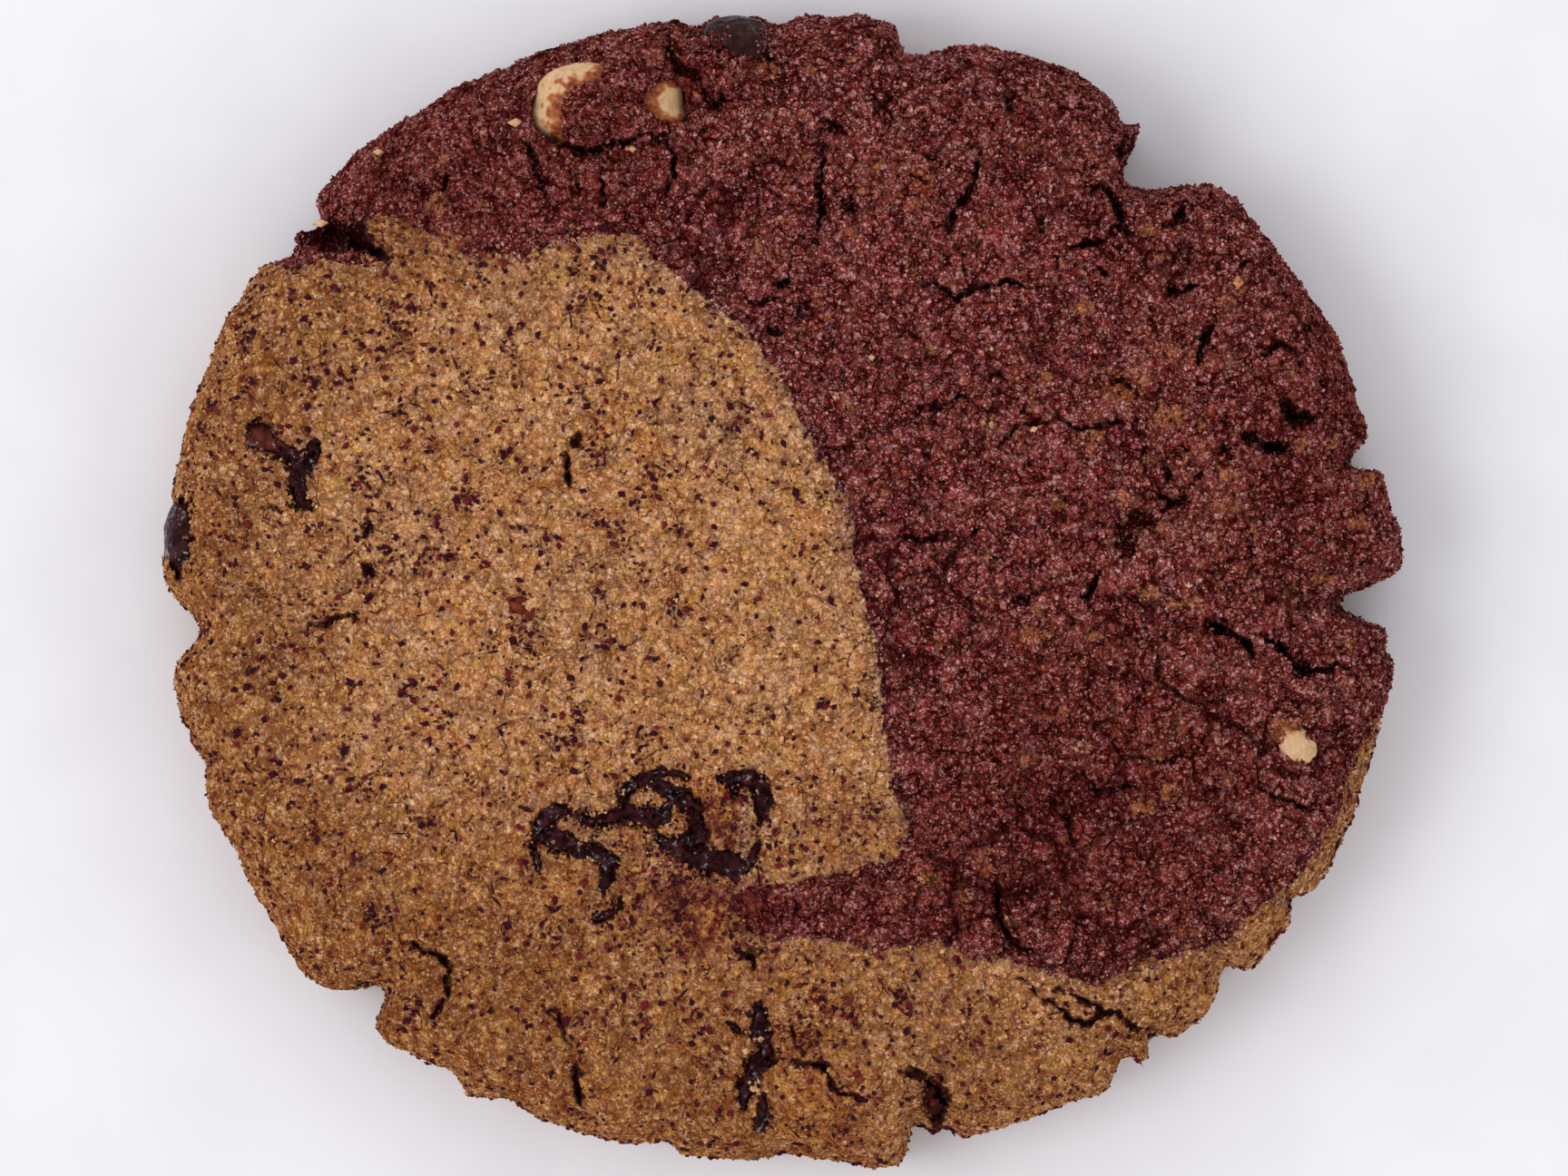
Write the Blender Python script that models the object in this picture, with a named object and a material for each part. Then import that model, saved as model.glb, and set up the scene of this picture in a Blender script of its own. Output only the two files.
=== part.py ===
"""A round chocolate hazelnut cookie lying flat: pale hazelnut dough and dark chocolate dough
baked side by side, with a hazelnut half, a nut chip and melted chocolate chunks set in them.

The origin is at the middle of the flat underside, +Z is up and the cookie is longest along X.
Lengths below are millimetres. Angles run anticlockwise from +X, seen from above.
"""

import math

import bmesh
import bpy
from mathutils import Matrix, Vector, noise

MM = 0.001

# Driving dimensions of the whole cookie
RIM_RADIUS = 41.1
RIM_OVAL = 1.4  # how far the rim swells along X and draws in along Y
RIM_SKEW = -0.15  # and along the diagonals
RIM_SQUARE = -0.24  # how far it leans to four corners
RIM_SHIFT = -0.28  # the round shape's middle, along X
MIDDLE_SHIFT = Vector((0.11, 0.25, 0.0))  # brings the middle of the whole outline to the origin
RIM_HEIGHT = 4.2  # the widest level of the side above the table
TOP_HEIGHT = 11.2  # at the middle of the top
TOP_FALL = 1.5  # how much lower the top would be at the rim without its shoulder
SHOULDER = 4.4  # width of the rounded upper edge
UNDERCUT = 1.7  # how far the underside draws in from the rim
TOP_WAVES = [(0.38, 11.0), (0.24, 5.0), (0.16, 2.4)]  # height and size of the top's unevenness
SIDE_WAVE = (0.45, 3.2)  # and of the side's
SIDE_INWARD = 0.4  # how much of the side's unevenness lies inside the rim

RIM_GRID = 1.15  # size of the surface's triangles at the rim
TOP_GRID = 2.6  # and at the middle of the top
BASE_GRID = 9.0  # and on the underside
GRID_WIDENS = 12.0  # width of the band where they grow from one size to the other
SEAM_GRID = 2.0  # spacing of points along the seam
CRACK_GRID = 2.2  # and along cracks
MELT_GRID = 1.2  # and along streaks of chocolate
GAP = 0.3  # clearance between pieces that touch

# Splits and crags round the rim: angle, depth (negative) or reach, and its spread in degrees
# before and after that angle
RIM_FEATURES = [
    (3.5, 0.6, 3.0, 4.0),
    (12.2, -2.0, 0.7, 1.8),
    (17.5, -0.35, 2.5, 4.0),
    (35.0, -0.35, 6.0, 5.0),
    (49.9, -4.3, 5.2, 1.8),
    (53.8, -0.9, 1.0, 1.6),
    (62.0, 0.45, 4.5, 5.0),
    (77.1, -1.9, 4.4, 1.3),
    (82.3, 0.5, 1.2, 1.2),
    (91.0, -0.7, 2.2, 1.2),
    (95.0, -0.5, 1.2, 0.8),
    (99.0, -0.6, 1.4, 1.0),
    (123.0, 0.2, 1.5, 1.5),
    (134.0, 0.3, 4.0, 3.5),
    (142.3, -1.5, 1.4, 1.2),
    (145.7, -1.3, 1.6, 1.8),
    (154.0, 0.2, 1.5, 2.0),
    (173.5, -0.3, 1.2, 1.5),
    (177.5, 0.2, 2.0, 2.0),
    (184.2, -2.1, 3.0, 2.4),
    (196.5, -0.6, 3.5, 2.5),
    (206.0, -0.35, 2.5, 2.5),
    (218.5, 0.65, 3.8, 2.6),
    (225.1, -2.3, 2.1, 1.3),
    (229.0, 0.3, 1.6, 2.0),
    (235.0, -0.35, 1.5, 1.5),
    (238.5, 0.5, 1.2, 1.0),
    (242.0, -0.5, 1.2, 1.8),
    (258.0, -0.75, 2.5, 0.9),
    (270.5, -0.45, 2.4, 2.2),
    (280.5, 1.0, 4.0, 1.5),
    (283.7, -1.6, 1.0, 1.2),
    (286.3, -0.9, 1.5, 1.2),
    (302.0, 0.4, 2.2, 2.0),
    (305.8, -0.8, 1.6, 1.0),
    (309.3, -1.0, 1.0, 1.2),
    (319.2, -1.5, 2.4, 0.9),
    (328.4, -0.8, 1.2, 0.7),
    (333.0, 0.25, 3.0, 8.0),
    (351.5, 0.4, 3.0, 1.8),
    (354.8, -0.4, 1.0, 1.0),
    (358.3, -3.7, 1.7, 2.0),
]
FEATURE_STEEPNESS = 2.4
FEATURE_FADE = 9.0  # how far from the rim a split or crag ends

# Where the hazelnut dough ends on top, from the upper left rim round to the lower right rim
SEAM = [
    (-50.0, 24.5), (-35.4, 22.1), (-31.6, 22.3), (-28.6, 22.2), (-27.3, 22.4), (-28.8, 24.2),
    (-28.0, 25.4), (-26.2, 25.2), (-23.4, 23.8), (-21.9, 22.8), (-17.2, 23.1), (-12.8, 24.1),
    (-10.3, 24.0), (-7.9, 21.7), (-5.3, 19.8), (-2.6, 17.6), (-0.7, 15.0), (0.9, 12.0),
    (2.8, 8.8), (4.3, 5.3), (4.9, 1.2), (6.1, -3.0), (6.8, -8.6), (7.7, -13.6),
    (8.3, -17.8), (6.6, -18.9), (1.6, -19.9), (-3.0, -20.8), (-3.5, -21.9), (-2.4, -23.6),
    (1.8, -24.0), (6.4, -24.8), (10.4, -24.3), (12.8, -25.2), (15.6, -25.4), (18.6, -26.3),
    (21.8, -26.3), (24.6, -24.9), (29.6, -24.2), (31.0, -22.4), (34.6, -20.4), (37.2, -17.6),
    (38.8, -13.8), (40.4, -10.9), (50.0, -6.5),
]
SEAM_LEVEL = 8.5  # the height at which those points are exact
UNDERLAP = Vector((-0.25, 0.48))  # how the seam moves sideways for each millimetre down
UNDERLAP_FROM = 14.0  # it only does so beyond this X, where the hazelnut dough reaches under the other
UNDERLAP_GROWS = 10.0  # in full after this width
BLOCK_LEVELS = (-3.0, 14.0)  # the block that holds the hazelnut dough, below and above the cookie
BLOCK_CORNERS = [(50.0, -60.0), (-60.0, -60.0), (-60.0, 24.5)]

# Open cracks: the points of each along the top, its width and its depth
CRACKS = [
    ([(-8.1, 31.0), (-7.6, 29.0), (-7.9, 25.0)], 0.8, 1.6),
    ([(2.6, 31.2), (2.6, 27.0), (2.3, 23.6), (1.2, 20.4), (-2.6, 19.6)], 0.8, 1.6),
    ([(10.0, 20.4), (12.8, 20.0), (15.8, 20.8), (18.4, 21.8), (22.6, 23.4), (22.4, 27.0)], 0.9, 1.8),
    ([(18.4, 11.4), (21.3, 11.1), (24.4, 11.0)], 0.8, 1.4),
    ([(29.4, 19.6), (29.2, 15.2), (31.8, 17.0), (34.6, 16.6)], 0.8, 1.4),
    ([(30.4, 9.4), (33.2, 10.9), (36.2, 11.8)], 1.6, 2.4),
    ([(21.2, 1.0), (21.0, -0.8), (19.6, -2.6)], 0.8, 1.4),
    ([(29.4, -2.5), (31.8, -3.8), (32.5, -4.8), (36.0, -5.3), (39.0, -5.5)], 1.3, 2.2),
    ([(20.6, -13.8), (23.2, -14.3), (28.6, -16.4), (33.4, -14.2), (37.4, -15.0)], 0.8, 1.4),
    ([(14.7, -20.0), (14.7, -23.2), (17.2, -25.2)], 1.1, 1.8),
    ([(15.8, -26.4), (19.6, -29.6), (22.6, -29.4), (25.8, -30.8)], 0.9, 2.0),
    ([(8.4, -32.8), (10.8, -34.6), (9.9, -38.0)], 2.2, 3.2),
    ([(0.2, -33.2), (2.6, -32.6), (3.6, -34.2), (5.6, -34.8)], 0.8, 1.6),
    ([(-26.4, -24.2), (-22.9, -26.3), (-24.2, -30.0)], 0.9, 1.6),
    ([(-14.2, -32.6), (-14.2, -36.0)], 0.9, 1.6),
    ([(-33.8, -3.2), (-31.0, -2.5), (-28.8, -2.1)], 0.7, 1.2),
    ([(-34.5, 24.8), (-31.6, 24.6), (-29.0, 23.6), (-27.0, 22.4)], 1.9, 3.4),
]
CRACK_WAVE = (0.35, 2.0)  # how uneven their width is, as a share, and over what length
CRACK_ABOVE = 1.2  # how far their cutters stand above the top

# Rounded pieces set in the dough: middle, half sizes and turn about Z in degrees
NUT_HALF = {"at": (-12.0, 33.0, 8.3), "half": (5.3, 2.95, 2.6), "turn": -4.0}
NUT_CHIP = {"at": (35.0, -10.6, 9.2), "half": (1.7, 1.1, 1.0), "turn": -42.0}
RIM_CHIP = {"at": (-40.4, 3.0, 5.0), "half": (2.2, 3.4, 3.0), "turn": 4.0}
TOP_RIM_CHUNK = {"at": (-3.0, 37.0, 7.0), "half": (2.7, 2.2, 2.4), "turn": -18.0}
PEBBLE_WAVE = (0.12, 0.8)  # how uneven they are and how fine that is, as shares of their size

# Melted chocolate that fills splits: each streak's points along the top, with its half width there
LEFT_MELT = [
    [(-36.4, 11.2, 0.7), (-34.6, 9.4, 1.2), (-33.6, 7.6, 1.0), (-33.0, 5.6, 0.6)],
    [(-33.9, 8.4, 0.8), (-32.2, 9.8, 0.5)],
]
SWIRL_MELT = [
    [(-17.2, -17.4, 0.7), (-15.2, -17.2, 1.1), (-13.3, -17.6, 1.1), (-11.9, -18.5, 0.9), (-12.2, -20.0, 0.6)],
    [(-15.6, -15.7, 0.6), (-13.3, -16.3, 0.7), (-10.8, -15.8, 0.7), (-9.0, -15.8, 0.9), (-6.6, -16.4, 0.8)],
    [(-10.1, -13.1, 0.5), (-7.4, -13.2, 0.6), (-6.2, -15.1, 0.9), (-6.5, -16.8, 0.8), (-7.2, -18.0, 0.7),
     (-5.4, -19.1, 0.9), (-2.9, -19.2, 0.8), (-1.8, -17.4, 0.6), (-1.4, -15.1, 0.6), (-2.5, -13.3, 0.9),
     (-4.2, -13.0, 0.6)],
]
LOWER_MELT = [[(-2.4, -28.8, 0.6), (-2.6, -31.2, 1.2), (-3.2, -33.8, 1.1), (-2.8, -36.4, 1.0)]]
MELT_DEPTH = 2.6  # from the top of a melted streak to its lowest point
MELT_PROUD = 0.25  # how far its back stands over the dough
MELT_WAVE = (0.18, 1.6)  # how uneven its width is, as a share, and over what length
MELT_TAPER = (0.55, 0.85)  # its size at its end and one point further in
MELT_TIP = 0.35  # how far its end bulges out
MELT_SECTION = [  # its cross section, as shares of its half width and half depth
    (1.0, 0.1), (0.95, 0.55), (0.55, 0.95), (-0.55, 0.95),
    (-0.95, 0.55), (-1.0, 0.1), (-0.5, -1.0), (0.5, -1.0),
]

HAZELNUT_DOUGH_COLOUR = (0.46, 0.24, 0.09, 1.0)
CHOCOLATE_DOUGH_COLOUR = (0.10, 0.030, 0.024, 1.0)
NUT_COLOUR = (0.62, 0.42, 0.19, 1.0)
CHOCOLATE_COLOUR = (0.018, 0.008, 0.007, 1.0)


def clear_scene():
    for obj in list(bpy.data.objects):
        bpy.data.objects.remove(obj, do_unlink=True)


def material(name, colour, roughness):
    made = bpy.data.materials.new(name)
    made.use_nodes = True
    shader = made.node_tree.nodes["Principled BSDF"]
    shader.inputs["Base Color"].default_value = colour
    shader.inputs["Roughness"].default_value = roughness
    shader.inputs["Metallic"].default_value = 0.0
    made.diffuse_color = colour
    return made


def object_from(bm, name, finish=None):
    """A scene object from a bmesh, with its faces pointing outwards."""
    bmesh.ops.recalc_face_normals(bm, faces=bm.faces)
    mesh = bpy.data.meshes.new(name)
    bm.to_mesh(mesh)
    bm.free()
    obj = bpy.data.objects.new(name, mesh)
    obj.location = MIDDLE_SHIFT * MM
    bpy.context.scene.collection.objects.link(obj)
    if finish:
        mesh.materials.append(finish)
    return obj


def as_cutter(obj):
    obj.hide_render = True
    obj.display_type = "WIRE"
    return obj


def combine(obj, other, operation="DIFFERENCE"):
    modifier = obj.modifiers.new(other.name, "BOOLEAN")
    modifier.operation = operation
    modifier.solver = "EXACT"
    modifier.object = other


def wave(x, y, z, size):
    """Smooth noise between -1 and 1 whose bumps are about size across."""
    return noise.noise(Vector((x, y, z)) / size)


def rim_base(angle):
    """The plain oval rim, before its splits and crags."""
    oval = RIM_OVAL * math.cos(2 * angle) + RIM_SKEW * math.sin(2 * angle)
    return RIM_RADIUS + oval + RIM_SHIFT * math.cos(angle) + RIM_SQUARE * math.cos(4 * angle)


def rim_detail(angle):
    """What the splits and crags add to the rim at this angle."""
    total = 0.0
    for centre, reach, before, after in RIM_FEATURES:
        offset = (math.degrees(angle) - centre + 180) % 360 - 180
        spread = before if offset < 0 else after
        total += reach * math.exp(-abs(offset / spread) ** FEATURE_STEEPNESS)
    return total


def dome(x, y):
    """Height of the uneven top over the table."""
    uneven = sum(height * wave(x, y, size, size) for height, size in TOP_WAVES)
    return TOP_HEIGHT - TOP_FALL * (math.hypot(x, y) / RIM_RADIUS) ** 2 + uneven


def profile():
    """Inset from the rim, level and point spacing of each ring, from the middle of the top over the
    shoulder and the side to the underside. The level is 1 on top, 0 at the rim and -1 underneath."""
    shoulder_rings, side_rings, under_rings = 4, 3, 4
    rings = []
    inset = SHOULDER
    while inset < RIM_RADIUS - TOP_GRID:
        step = RIM_GRID + (TOP_GRID - RIM_GRID) * min(1.0, (inset - SHOULDER + RIM_GRID) / GRID_WIDENS)
        inset += step * math.sin(math.pi / 3)
        rings.insert(0, (inset, 1.0, step))
    for i in range(shoulder_rings + 1):
        turn = math.pi / 2 * i / shoulder_rings
        rings.append((SHOULDER * (1 - math.sin(turn) ** 0.9), math.cos(turn) ** 0.8, RIM_GRID))
    for i in range(1, side_rings + 1):
        turn = math.pi / 2 * i / side_rings
        rings.append((UNDERCUT * (1 - math.cos(turn) ** 0.7), -math.sin(turn), RIM_GRID))
    for i in range(1, under_rings):
        rings.append((UNDERCUT + (RIM_RADIUS - UNDERCUT) * i / under_rings, -1.0, BASE_GRID))
    return rings


def ring_point(angle, inset, level):
    """The surface point at this angle on a ring of the profile."""
    detail = rim_detail(angle) * max(0.0, 1 - inset / FEATURE_FADE)
    reach = rim_base(angle) * (1 - inset / RIM_RADIUS) + detail
    depth, size = SIDE_WAVE
    on_side = 1 - abs(abs(level) - 0.5) * 2
    uneven = wave(reach * math.cos(angle), reach * math.sin(angle), level * RIM_HEIGHT, size) - SIDE_INWARD
    reach += depth * uneven * on_side * min(1.0, inset)
    x, y = reach * math.cos(angle), reach * math.sin(angle)
    rise = (dome(x, y) - RIM_HEIGHT) * level if level > 0 else RIM_HEIGHT * level
    return Vector((x, y, RIM_HEIGHT + rise)) * MM


def stitch(bm, outer, inner):
    """Triangles between two rings that both start at angle 0 and can differ in their counts."""
    i = j = 0
    while i < len(outer) or j < len(inner):
        here, there = outer[i % len(outer)], inner[j % len(inner)]
        if j == len(inner) or (i < len(outer) and (i + 1) * len(inner) <= (j + 1) * len(outer)):
            i += 1
            bm.faces.new((here, outer[i % len(outer)], there))
        else:
            j += 1
            bm.faces.new((here, inner[j % len(inner)], there))


def cookie_body(name, finish):
    """The whole cookie as one closed mesh of rings stitched together, flat underneath."""
    bm = bmesh.new()
    rings = []
    for inset, level, spacing in profile():
        count = max(6, round(2 * math.pi * (RIM_RADIUS - inset) / spacing))
        angles = [2 * math.pi * i / count for i in range(count)]
        rings.append([bm.verts.new(ring_point(angle, inset, level)) for angle in angles])
    top = bm.verts.new(Vector((0, 0, dome(0, 0))) * MM)
    bottom = bm.verts.new((0, 0, 0))
    for ring, tip in ((rings[0], top), (rings[-1], bottom)):
        for i, vert in enumerate(ring):
            bm.faces.new((vert, ring[(i + 1) % len(ring)], tip))
    for outer, inner in zip(rings, rings[1:]):
        stitch(bm, outer, inner)
    for face in bm.faces:
        face.smooth = any(vert.co.z > 0 for vert in face.verts)
    return object_from(bm, name, finish)


def smooth_line(points, spacing):
    """Catmull-Rom curve through a list of points, with a point about every spacing."""
    ends = [Vector(point) for point in (points[0], *points, points[-1])]
    line = []
    for a, b, c, d in zip(ends, ends[1:], ends[2:], ends[3:]):
        steps = max(1, round((c - b).length / spacing))
        for i in range(steps):
            t = i / steps
            bend = (2 * a - 5 * b + 4 * c - d) * t**2 + (3 * b - a - 3 * c + d) * t**3
            line.append(b + 0.5 * ((c - a) * t + bend))
    return [*line, ends[-1]]


def across(line):
    """For each point of a flat line, the unit vector square to it on its left side."""
    found = []
    for i in range(len(line)):
        along = line[min(i + 1, len(line) - 1)] - line[max(i - 1, 0)]
        found.append(Vector((-along.y, along.x)).normalized())
    return found


def hazelnut_block(name, grow):
    """The block that holds the hazelnut dough: one wall is the seam, moved by grow towards the
    chocolate dough, and slanting under that dough at the lower right."""
    line = smooth_line(SEAM, SEAM_GRID)
    bm = bmesh.new()
    loops = []
    for level in BLOCK_LEVELS:
        outline = []
        for point, left in zip(line, across(line)):
            share = min(1.0, max(0.0, (point.x - UNDERLAP_FROM) / UNDERLAP_GROWS))
            outline.append(point + left * grow + UNDERLAP * share * (SEAM_LEVEL - level))
        outline += [Vector(corner) for corner in BLOCK_CORNERS]
        loops.append([bm.verts.new(Vector((point.x, point.y, level)) * MM) for point in outline])
    lower, upper = loops
    for i in range(len(lower)):
        j = (i + 1) % len(lower)
        bm.faces.new((lower[i], lower[j], upper[j]))
        bm.faces.new((lower[i], upper[j], upper[i]))
    bm.faces.new(lower)
    bm.faces.new(upper)
    return as_cutter(object_from(bm, name))


def crack_cutter(index, points, width, depth):
    """A wedge along a crack, open at the top and sharp at its foot, that tapers towards its ends."""
    line = smooth_line(points, CRACK_GRID)
    share, size = CRACK_WAVE
    bm = bmesh.new()
    rows = []
    for i, (point, left) in enumerate(zip(line, across(line))):
        swell = math.sin(math.pi * (i + 0.6) / (len(line) + 0.2))
        uneven = 1 + share * wave(point.x, point.y, depth, size)
        half = 0.5 * width * swell * uneven * (1 + CRACK_ABOVE / depth)
        surface = dome(point.x, point.y)
        foot = Vector((point.x, point.y, surface - depth * (0.5 + 0.5 * swell)))
        above = Vector((point.x, point.y, surface + CRACK_ABOVE))
        row = [foot, above + left.to_3d() * half, above - left.to_3d() * half]
        rows.append([bm.verts.new(corner * MM) for corner in row])
    for here, there in zip(rows, rows[1:]):
        for a, b in ((0, 1), (1, 2), (2, 0)):
            bm.faces.new((here[a], here[b], there[b], there[a]))
    bm.faces.new(rows[0])
    bm.faces.new(rows[-1])
    return as_cutter(object_from(bm, f"crack_cutter_{index:02d}"))


def pebble(name, shape, grow, finish=None):
    """An uneven rounded piece, larger all round by grow, such as a nut half or a chocolate chip."""
    middle, half = Vector(shape["at"]), Vector(shape["half"])
    turn = Matrix.Rotation(math.radians(shape["turn"]), 3, "Z")
    rings = 5 + round(half.x * 0.7)
    share, size = PEBBLE_WAVE
    bm = bmesh.new()
    bmesh.ops.create_uvsphere(bm, u_segments=2 * rings, v_segments=rings, radius=1.0)
    for vert in bm.verts:
        out = vert.co.copy()
        uneven = 1 + share * wave(out.x, out.y, out.z + middle.x, size)
        vert.co = (middle + turn @ (out * uneven * half + out * grow)) * MM
    obj = object_from(bm, name, finish)
    obj.data.shade_smooth()
    return obj


def streak(name, line, grow, finish=None):
    """Chocolate that has run along a split: a flattened tube whose back stands just over the dough."""
    path = smooth_line(line, MELT_GRID)
    widths = [point[2] for point in path]
    flat = [Vector((point[0], point[1])) for point in path]
    share, size = MELT_WAVE
    bm = bmesh.new()
    rings = []
    for i, (point, left) in enumerate(zip(flat, across(flat))):
        from_end = min(i, len(flat) - 1 - i)
        taper = MELT_TAPER[from_end] if from_end < len(MELT_TAPER) else 1.0
        half = widths[i] * taper * (1 + share * wave(point.x, point.y, MELT_DEPTH, size)) + grow
        tall = 0.5 * MELT_DEPTH * taper
        centre = Vector((point.x, point.y, dome(point.x, point.y) + MELT_PROUD - tall))
        up = Vector((0, 0, tall + grow))
        ring = [centre + left.to_3d() * half * wide + up * high for wide, high in MELT_SECTION]
        rings.append([bm.verts.new(corner * MM) for corner in ring])
    sides = [(side, (side + 1) % len(MELT_SECTION)) for side in range(len(MELT_SECTION))]
    for here, there in zip(rings, rings[1:]):
        for a, b in sides:
            bm.faces.new((here[a], here[b], there[b], there[a]))
    for ring, end, inner in ((rings[0], flat[0], flat[1]), (rings[-1], flat[-1], flat[-2])):
        outwards = (end - inner).normalized() * (MELT_TIP + grow)
        middle = sum((vert.co for vert in ring), Vector()) / len(ring)
        tip = bm.verts.new(middle + outwards.to_3d() * MM)
        for a, b in sides:
            bm.faces.new((ring[a], ring[b], tip))
    obj = object_from(bm, name, finish)
    obj.data.shade_smooth()
    return obj


def melt(name, lines, finish):
    """One piece of melted chocolate, of one or more streaks that run into each other. Gives back the
    cutters that make room for it."""
    piece = streak(name, lines[0], 0.0, finish)
    for i, line in enumerate(lines[1:], start=1):
        combine(piece, as_cutter(streak(f"{name}_branch_{i}", line, 0.0)), "UNION")
    return [as_cutter(streak(f"{name}_pocket_{i}", line, GAP)) for i, line in enumerate(lines)]


def main():
    clear_scene()
    nut_finish = material("nut", NUT_COLOUR, 0.5)
    melt_finish = material("chocolate", CHOCOLATE_COLOUR, 0.25)

    hazelnut = cookie_body("hazelnut_dough", material("hazelnut_dough", HAZELNUT_DOUGH_COLOUR, 0.85))
    combine(hazelnut, hazelnut_block("hazelnut_block", 0.0), "INTERSECT")
    chocolate = cookie_body("chocolate_dough", material("chocolate_dough", CHOCOLATE_DOUGH_COLOUR, 0.8))
    combine(chocolate, hazelnut_block("hazelnut_block_and_gap", GAP))

    cutters = [crack_cutter(i, *crack) for i, crack in enumerate(CRACKS)]
    pebbles = [
        ("hazelnut_half", NUT_HALF, nut_finish),
        ("hazelnut_chip", NUT_CHIP, nut_finish),
        ("chocolate_chip_left_rim", RIM_CHIP, melt_finish),
        ("chocolate_chunk_top_rim", TOP_RIM_CHUNK, melt_finish),
    ]
    for name, shape, finish in pebbles:
        pebble(name, shape, 0.0, finish)
        cutters.append(as_cutter(pebble(name + "_pocket", shape, GAP)))
    cutters += melt("chocolate_melt_left", LEFT_MELT, melt_finish)
    cutters += melt("chocolate_melt_swirl", SWIRL_MELT, melt_finish)
    cutters += melt("chocolate_melt_lower", LOWER_MELT, melt_finish)
    for dough in (hazelnut, chocolate):
        for cutter in cutters:
            combine(dough, cutter)
        dough.data.set_sharp_from_angle(angle=math.radians(40))


main()
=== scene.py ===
import math

import bmesh
import bpy
import numpy as np
from mathutils import Matrix, Vector, noise


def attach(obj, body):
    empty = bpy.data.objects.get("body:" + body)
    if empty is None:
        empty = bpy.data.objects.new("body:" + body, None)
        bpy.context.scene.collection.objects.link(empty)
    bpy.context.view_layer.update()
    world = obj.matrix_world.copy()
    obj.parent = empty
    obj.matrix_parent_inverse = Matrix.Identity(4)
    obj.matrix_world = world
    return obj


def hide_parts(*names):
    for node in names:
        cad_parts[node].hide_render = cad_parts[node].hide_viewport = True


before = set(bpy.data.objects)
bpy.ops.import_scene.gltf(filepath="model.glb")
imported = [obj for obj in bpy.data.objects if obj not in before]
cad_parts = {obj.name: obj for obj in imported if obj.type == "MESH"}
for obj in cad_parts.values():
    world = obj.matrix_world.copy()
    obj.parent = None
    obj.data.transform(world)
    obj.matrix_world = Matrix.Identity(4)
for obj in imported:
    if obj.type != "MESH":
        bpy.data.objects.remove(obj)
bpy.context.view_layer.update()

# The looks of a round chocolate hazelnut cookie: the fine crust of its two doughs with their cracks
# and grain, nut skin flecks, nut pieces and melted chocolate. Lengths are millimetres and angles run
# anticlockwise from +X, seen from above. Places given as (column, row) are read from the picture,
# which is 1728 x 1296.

MM = 0.001
SEED = 7

# The picture: the size of one of its pixels on the cookie, and where the plan's origin lies in it
PIXEL = 85 / 1366
PICTURE_SIZE = (1728, 1296)
PICTURE_MIDDLE = (864, 647.5)

# The cookie's form, as in its solids
MIDDLE_SHIFT = np.array((0.11, 0.25, 0.0))
RIM_RADIUS = 41.1
RIM_OVAL = 1.4
RIM_SKEW = -0.15
RIM_SQUARE = -0.24
RIM_SHIFT = -0.28
RIM_HEIGHT = 4.2
TOP_HEIGHT = 11.2
TOP_FALL = 1.5
SHOULDER = 4.4
UNDERCUT = 1.7
TOP_WAVES = [(0.38, 11.0), (0.24, 5.0), (0.16, 2.4)]
SIDE_WAVE = (0.45, 3.2)
SIDE_INWARD = 0.4

# Splits and crags round the rim: angle, reach, and its spread in degrees before and after
RIM_FEATURES = [
    (3.5, 0.6, 3.0, 4.0),
    (12.2, -2.0, 0.7, 1.8),
    (17.5, -0.35, 2.5, 4.0),
    (35.0, -0.35, 6.0, 5.0),
    (49.9, -4.3, 5.2, 1.8),
    (53.8, -0.9, 1.0, 1.6),
    (62.0, 0.45, 4.5, 5.0),
    (77.1, -1.9, 4.4, 1.3),
    (82.3, 0.5, 1.2, 1.2),
    (91.0, -0.7, 2.2, 1.2),
    (95.0, -0.5, 1.2, 0.8),
    (99.0, -0.6, 1.4, 1.0),
    (123.0, 0.2, 1.5, 1.5),
    (134.0, 0.3, 4.0, 3.5),
    (142.3, -1.5, 1.4, 1.2),
    (145.7, -1.3, 1.6, 1.8),
    (154.0, 0.2, 1.5, 2.0),
    (173.5, -0.3, 1.2, 1.5),
    (177.5, 0.2, 2.0, 2.0),
    (184.2, -2.1, 3.0, 2.4),
    (196.5, -0.6, 3.5, 2.5),
    (206.0, -0.35, 2.5, 2.5),
    (218.5, 0.65, 3.8, 2.6),
    (225.1, -2.3, 2.1, 1.3),
    (229.0, 0.3, 1.6, 2.0),
    (235.0, -0.35, 1.5, 1.5),
    (238.5, 0.5, 1.2, 1.0),
    (242.0, -0.5, 1.2, 1.8),
    (258.0, -0.75, 2.5, 0.9),
    (270.5, -0.45, 2.4, 2.2),
    (280.5, 1.0, 4.0, 1.5),
    (283.7, -1.6, 1.0, 1.2),
    (286.3, -0.9, 1.5, 1.2),
    (302.0, 0.4, 2.2, 2.0),
    (305.8, -0.8, 1.6, 1.0),
    (309.3, -1.0, 1.0, 1.2),
    (319.2, -1.5, 2.4, 0.9),
    (328.4, -0.8, 1.2, 0.7),
    (333.0, 0.25, 3.0, 8.0),
    (351.5, 0.4, 3.0, 1.8),
    (354.8, -0.4, 1.0, 1.0),
    (358.3, -3.7, 1.7, 2.0),
]
FEATURE_STEEPNESS = 2.4
FEATURE_FADE = 9.0

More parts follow.
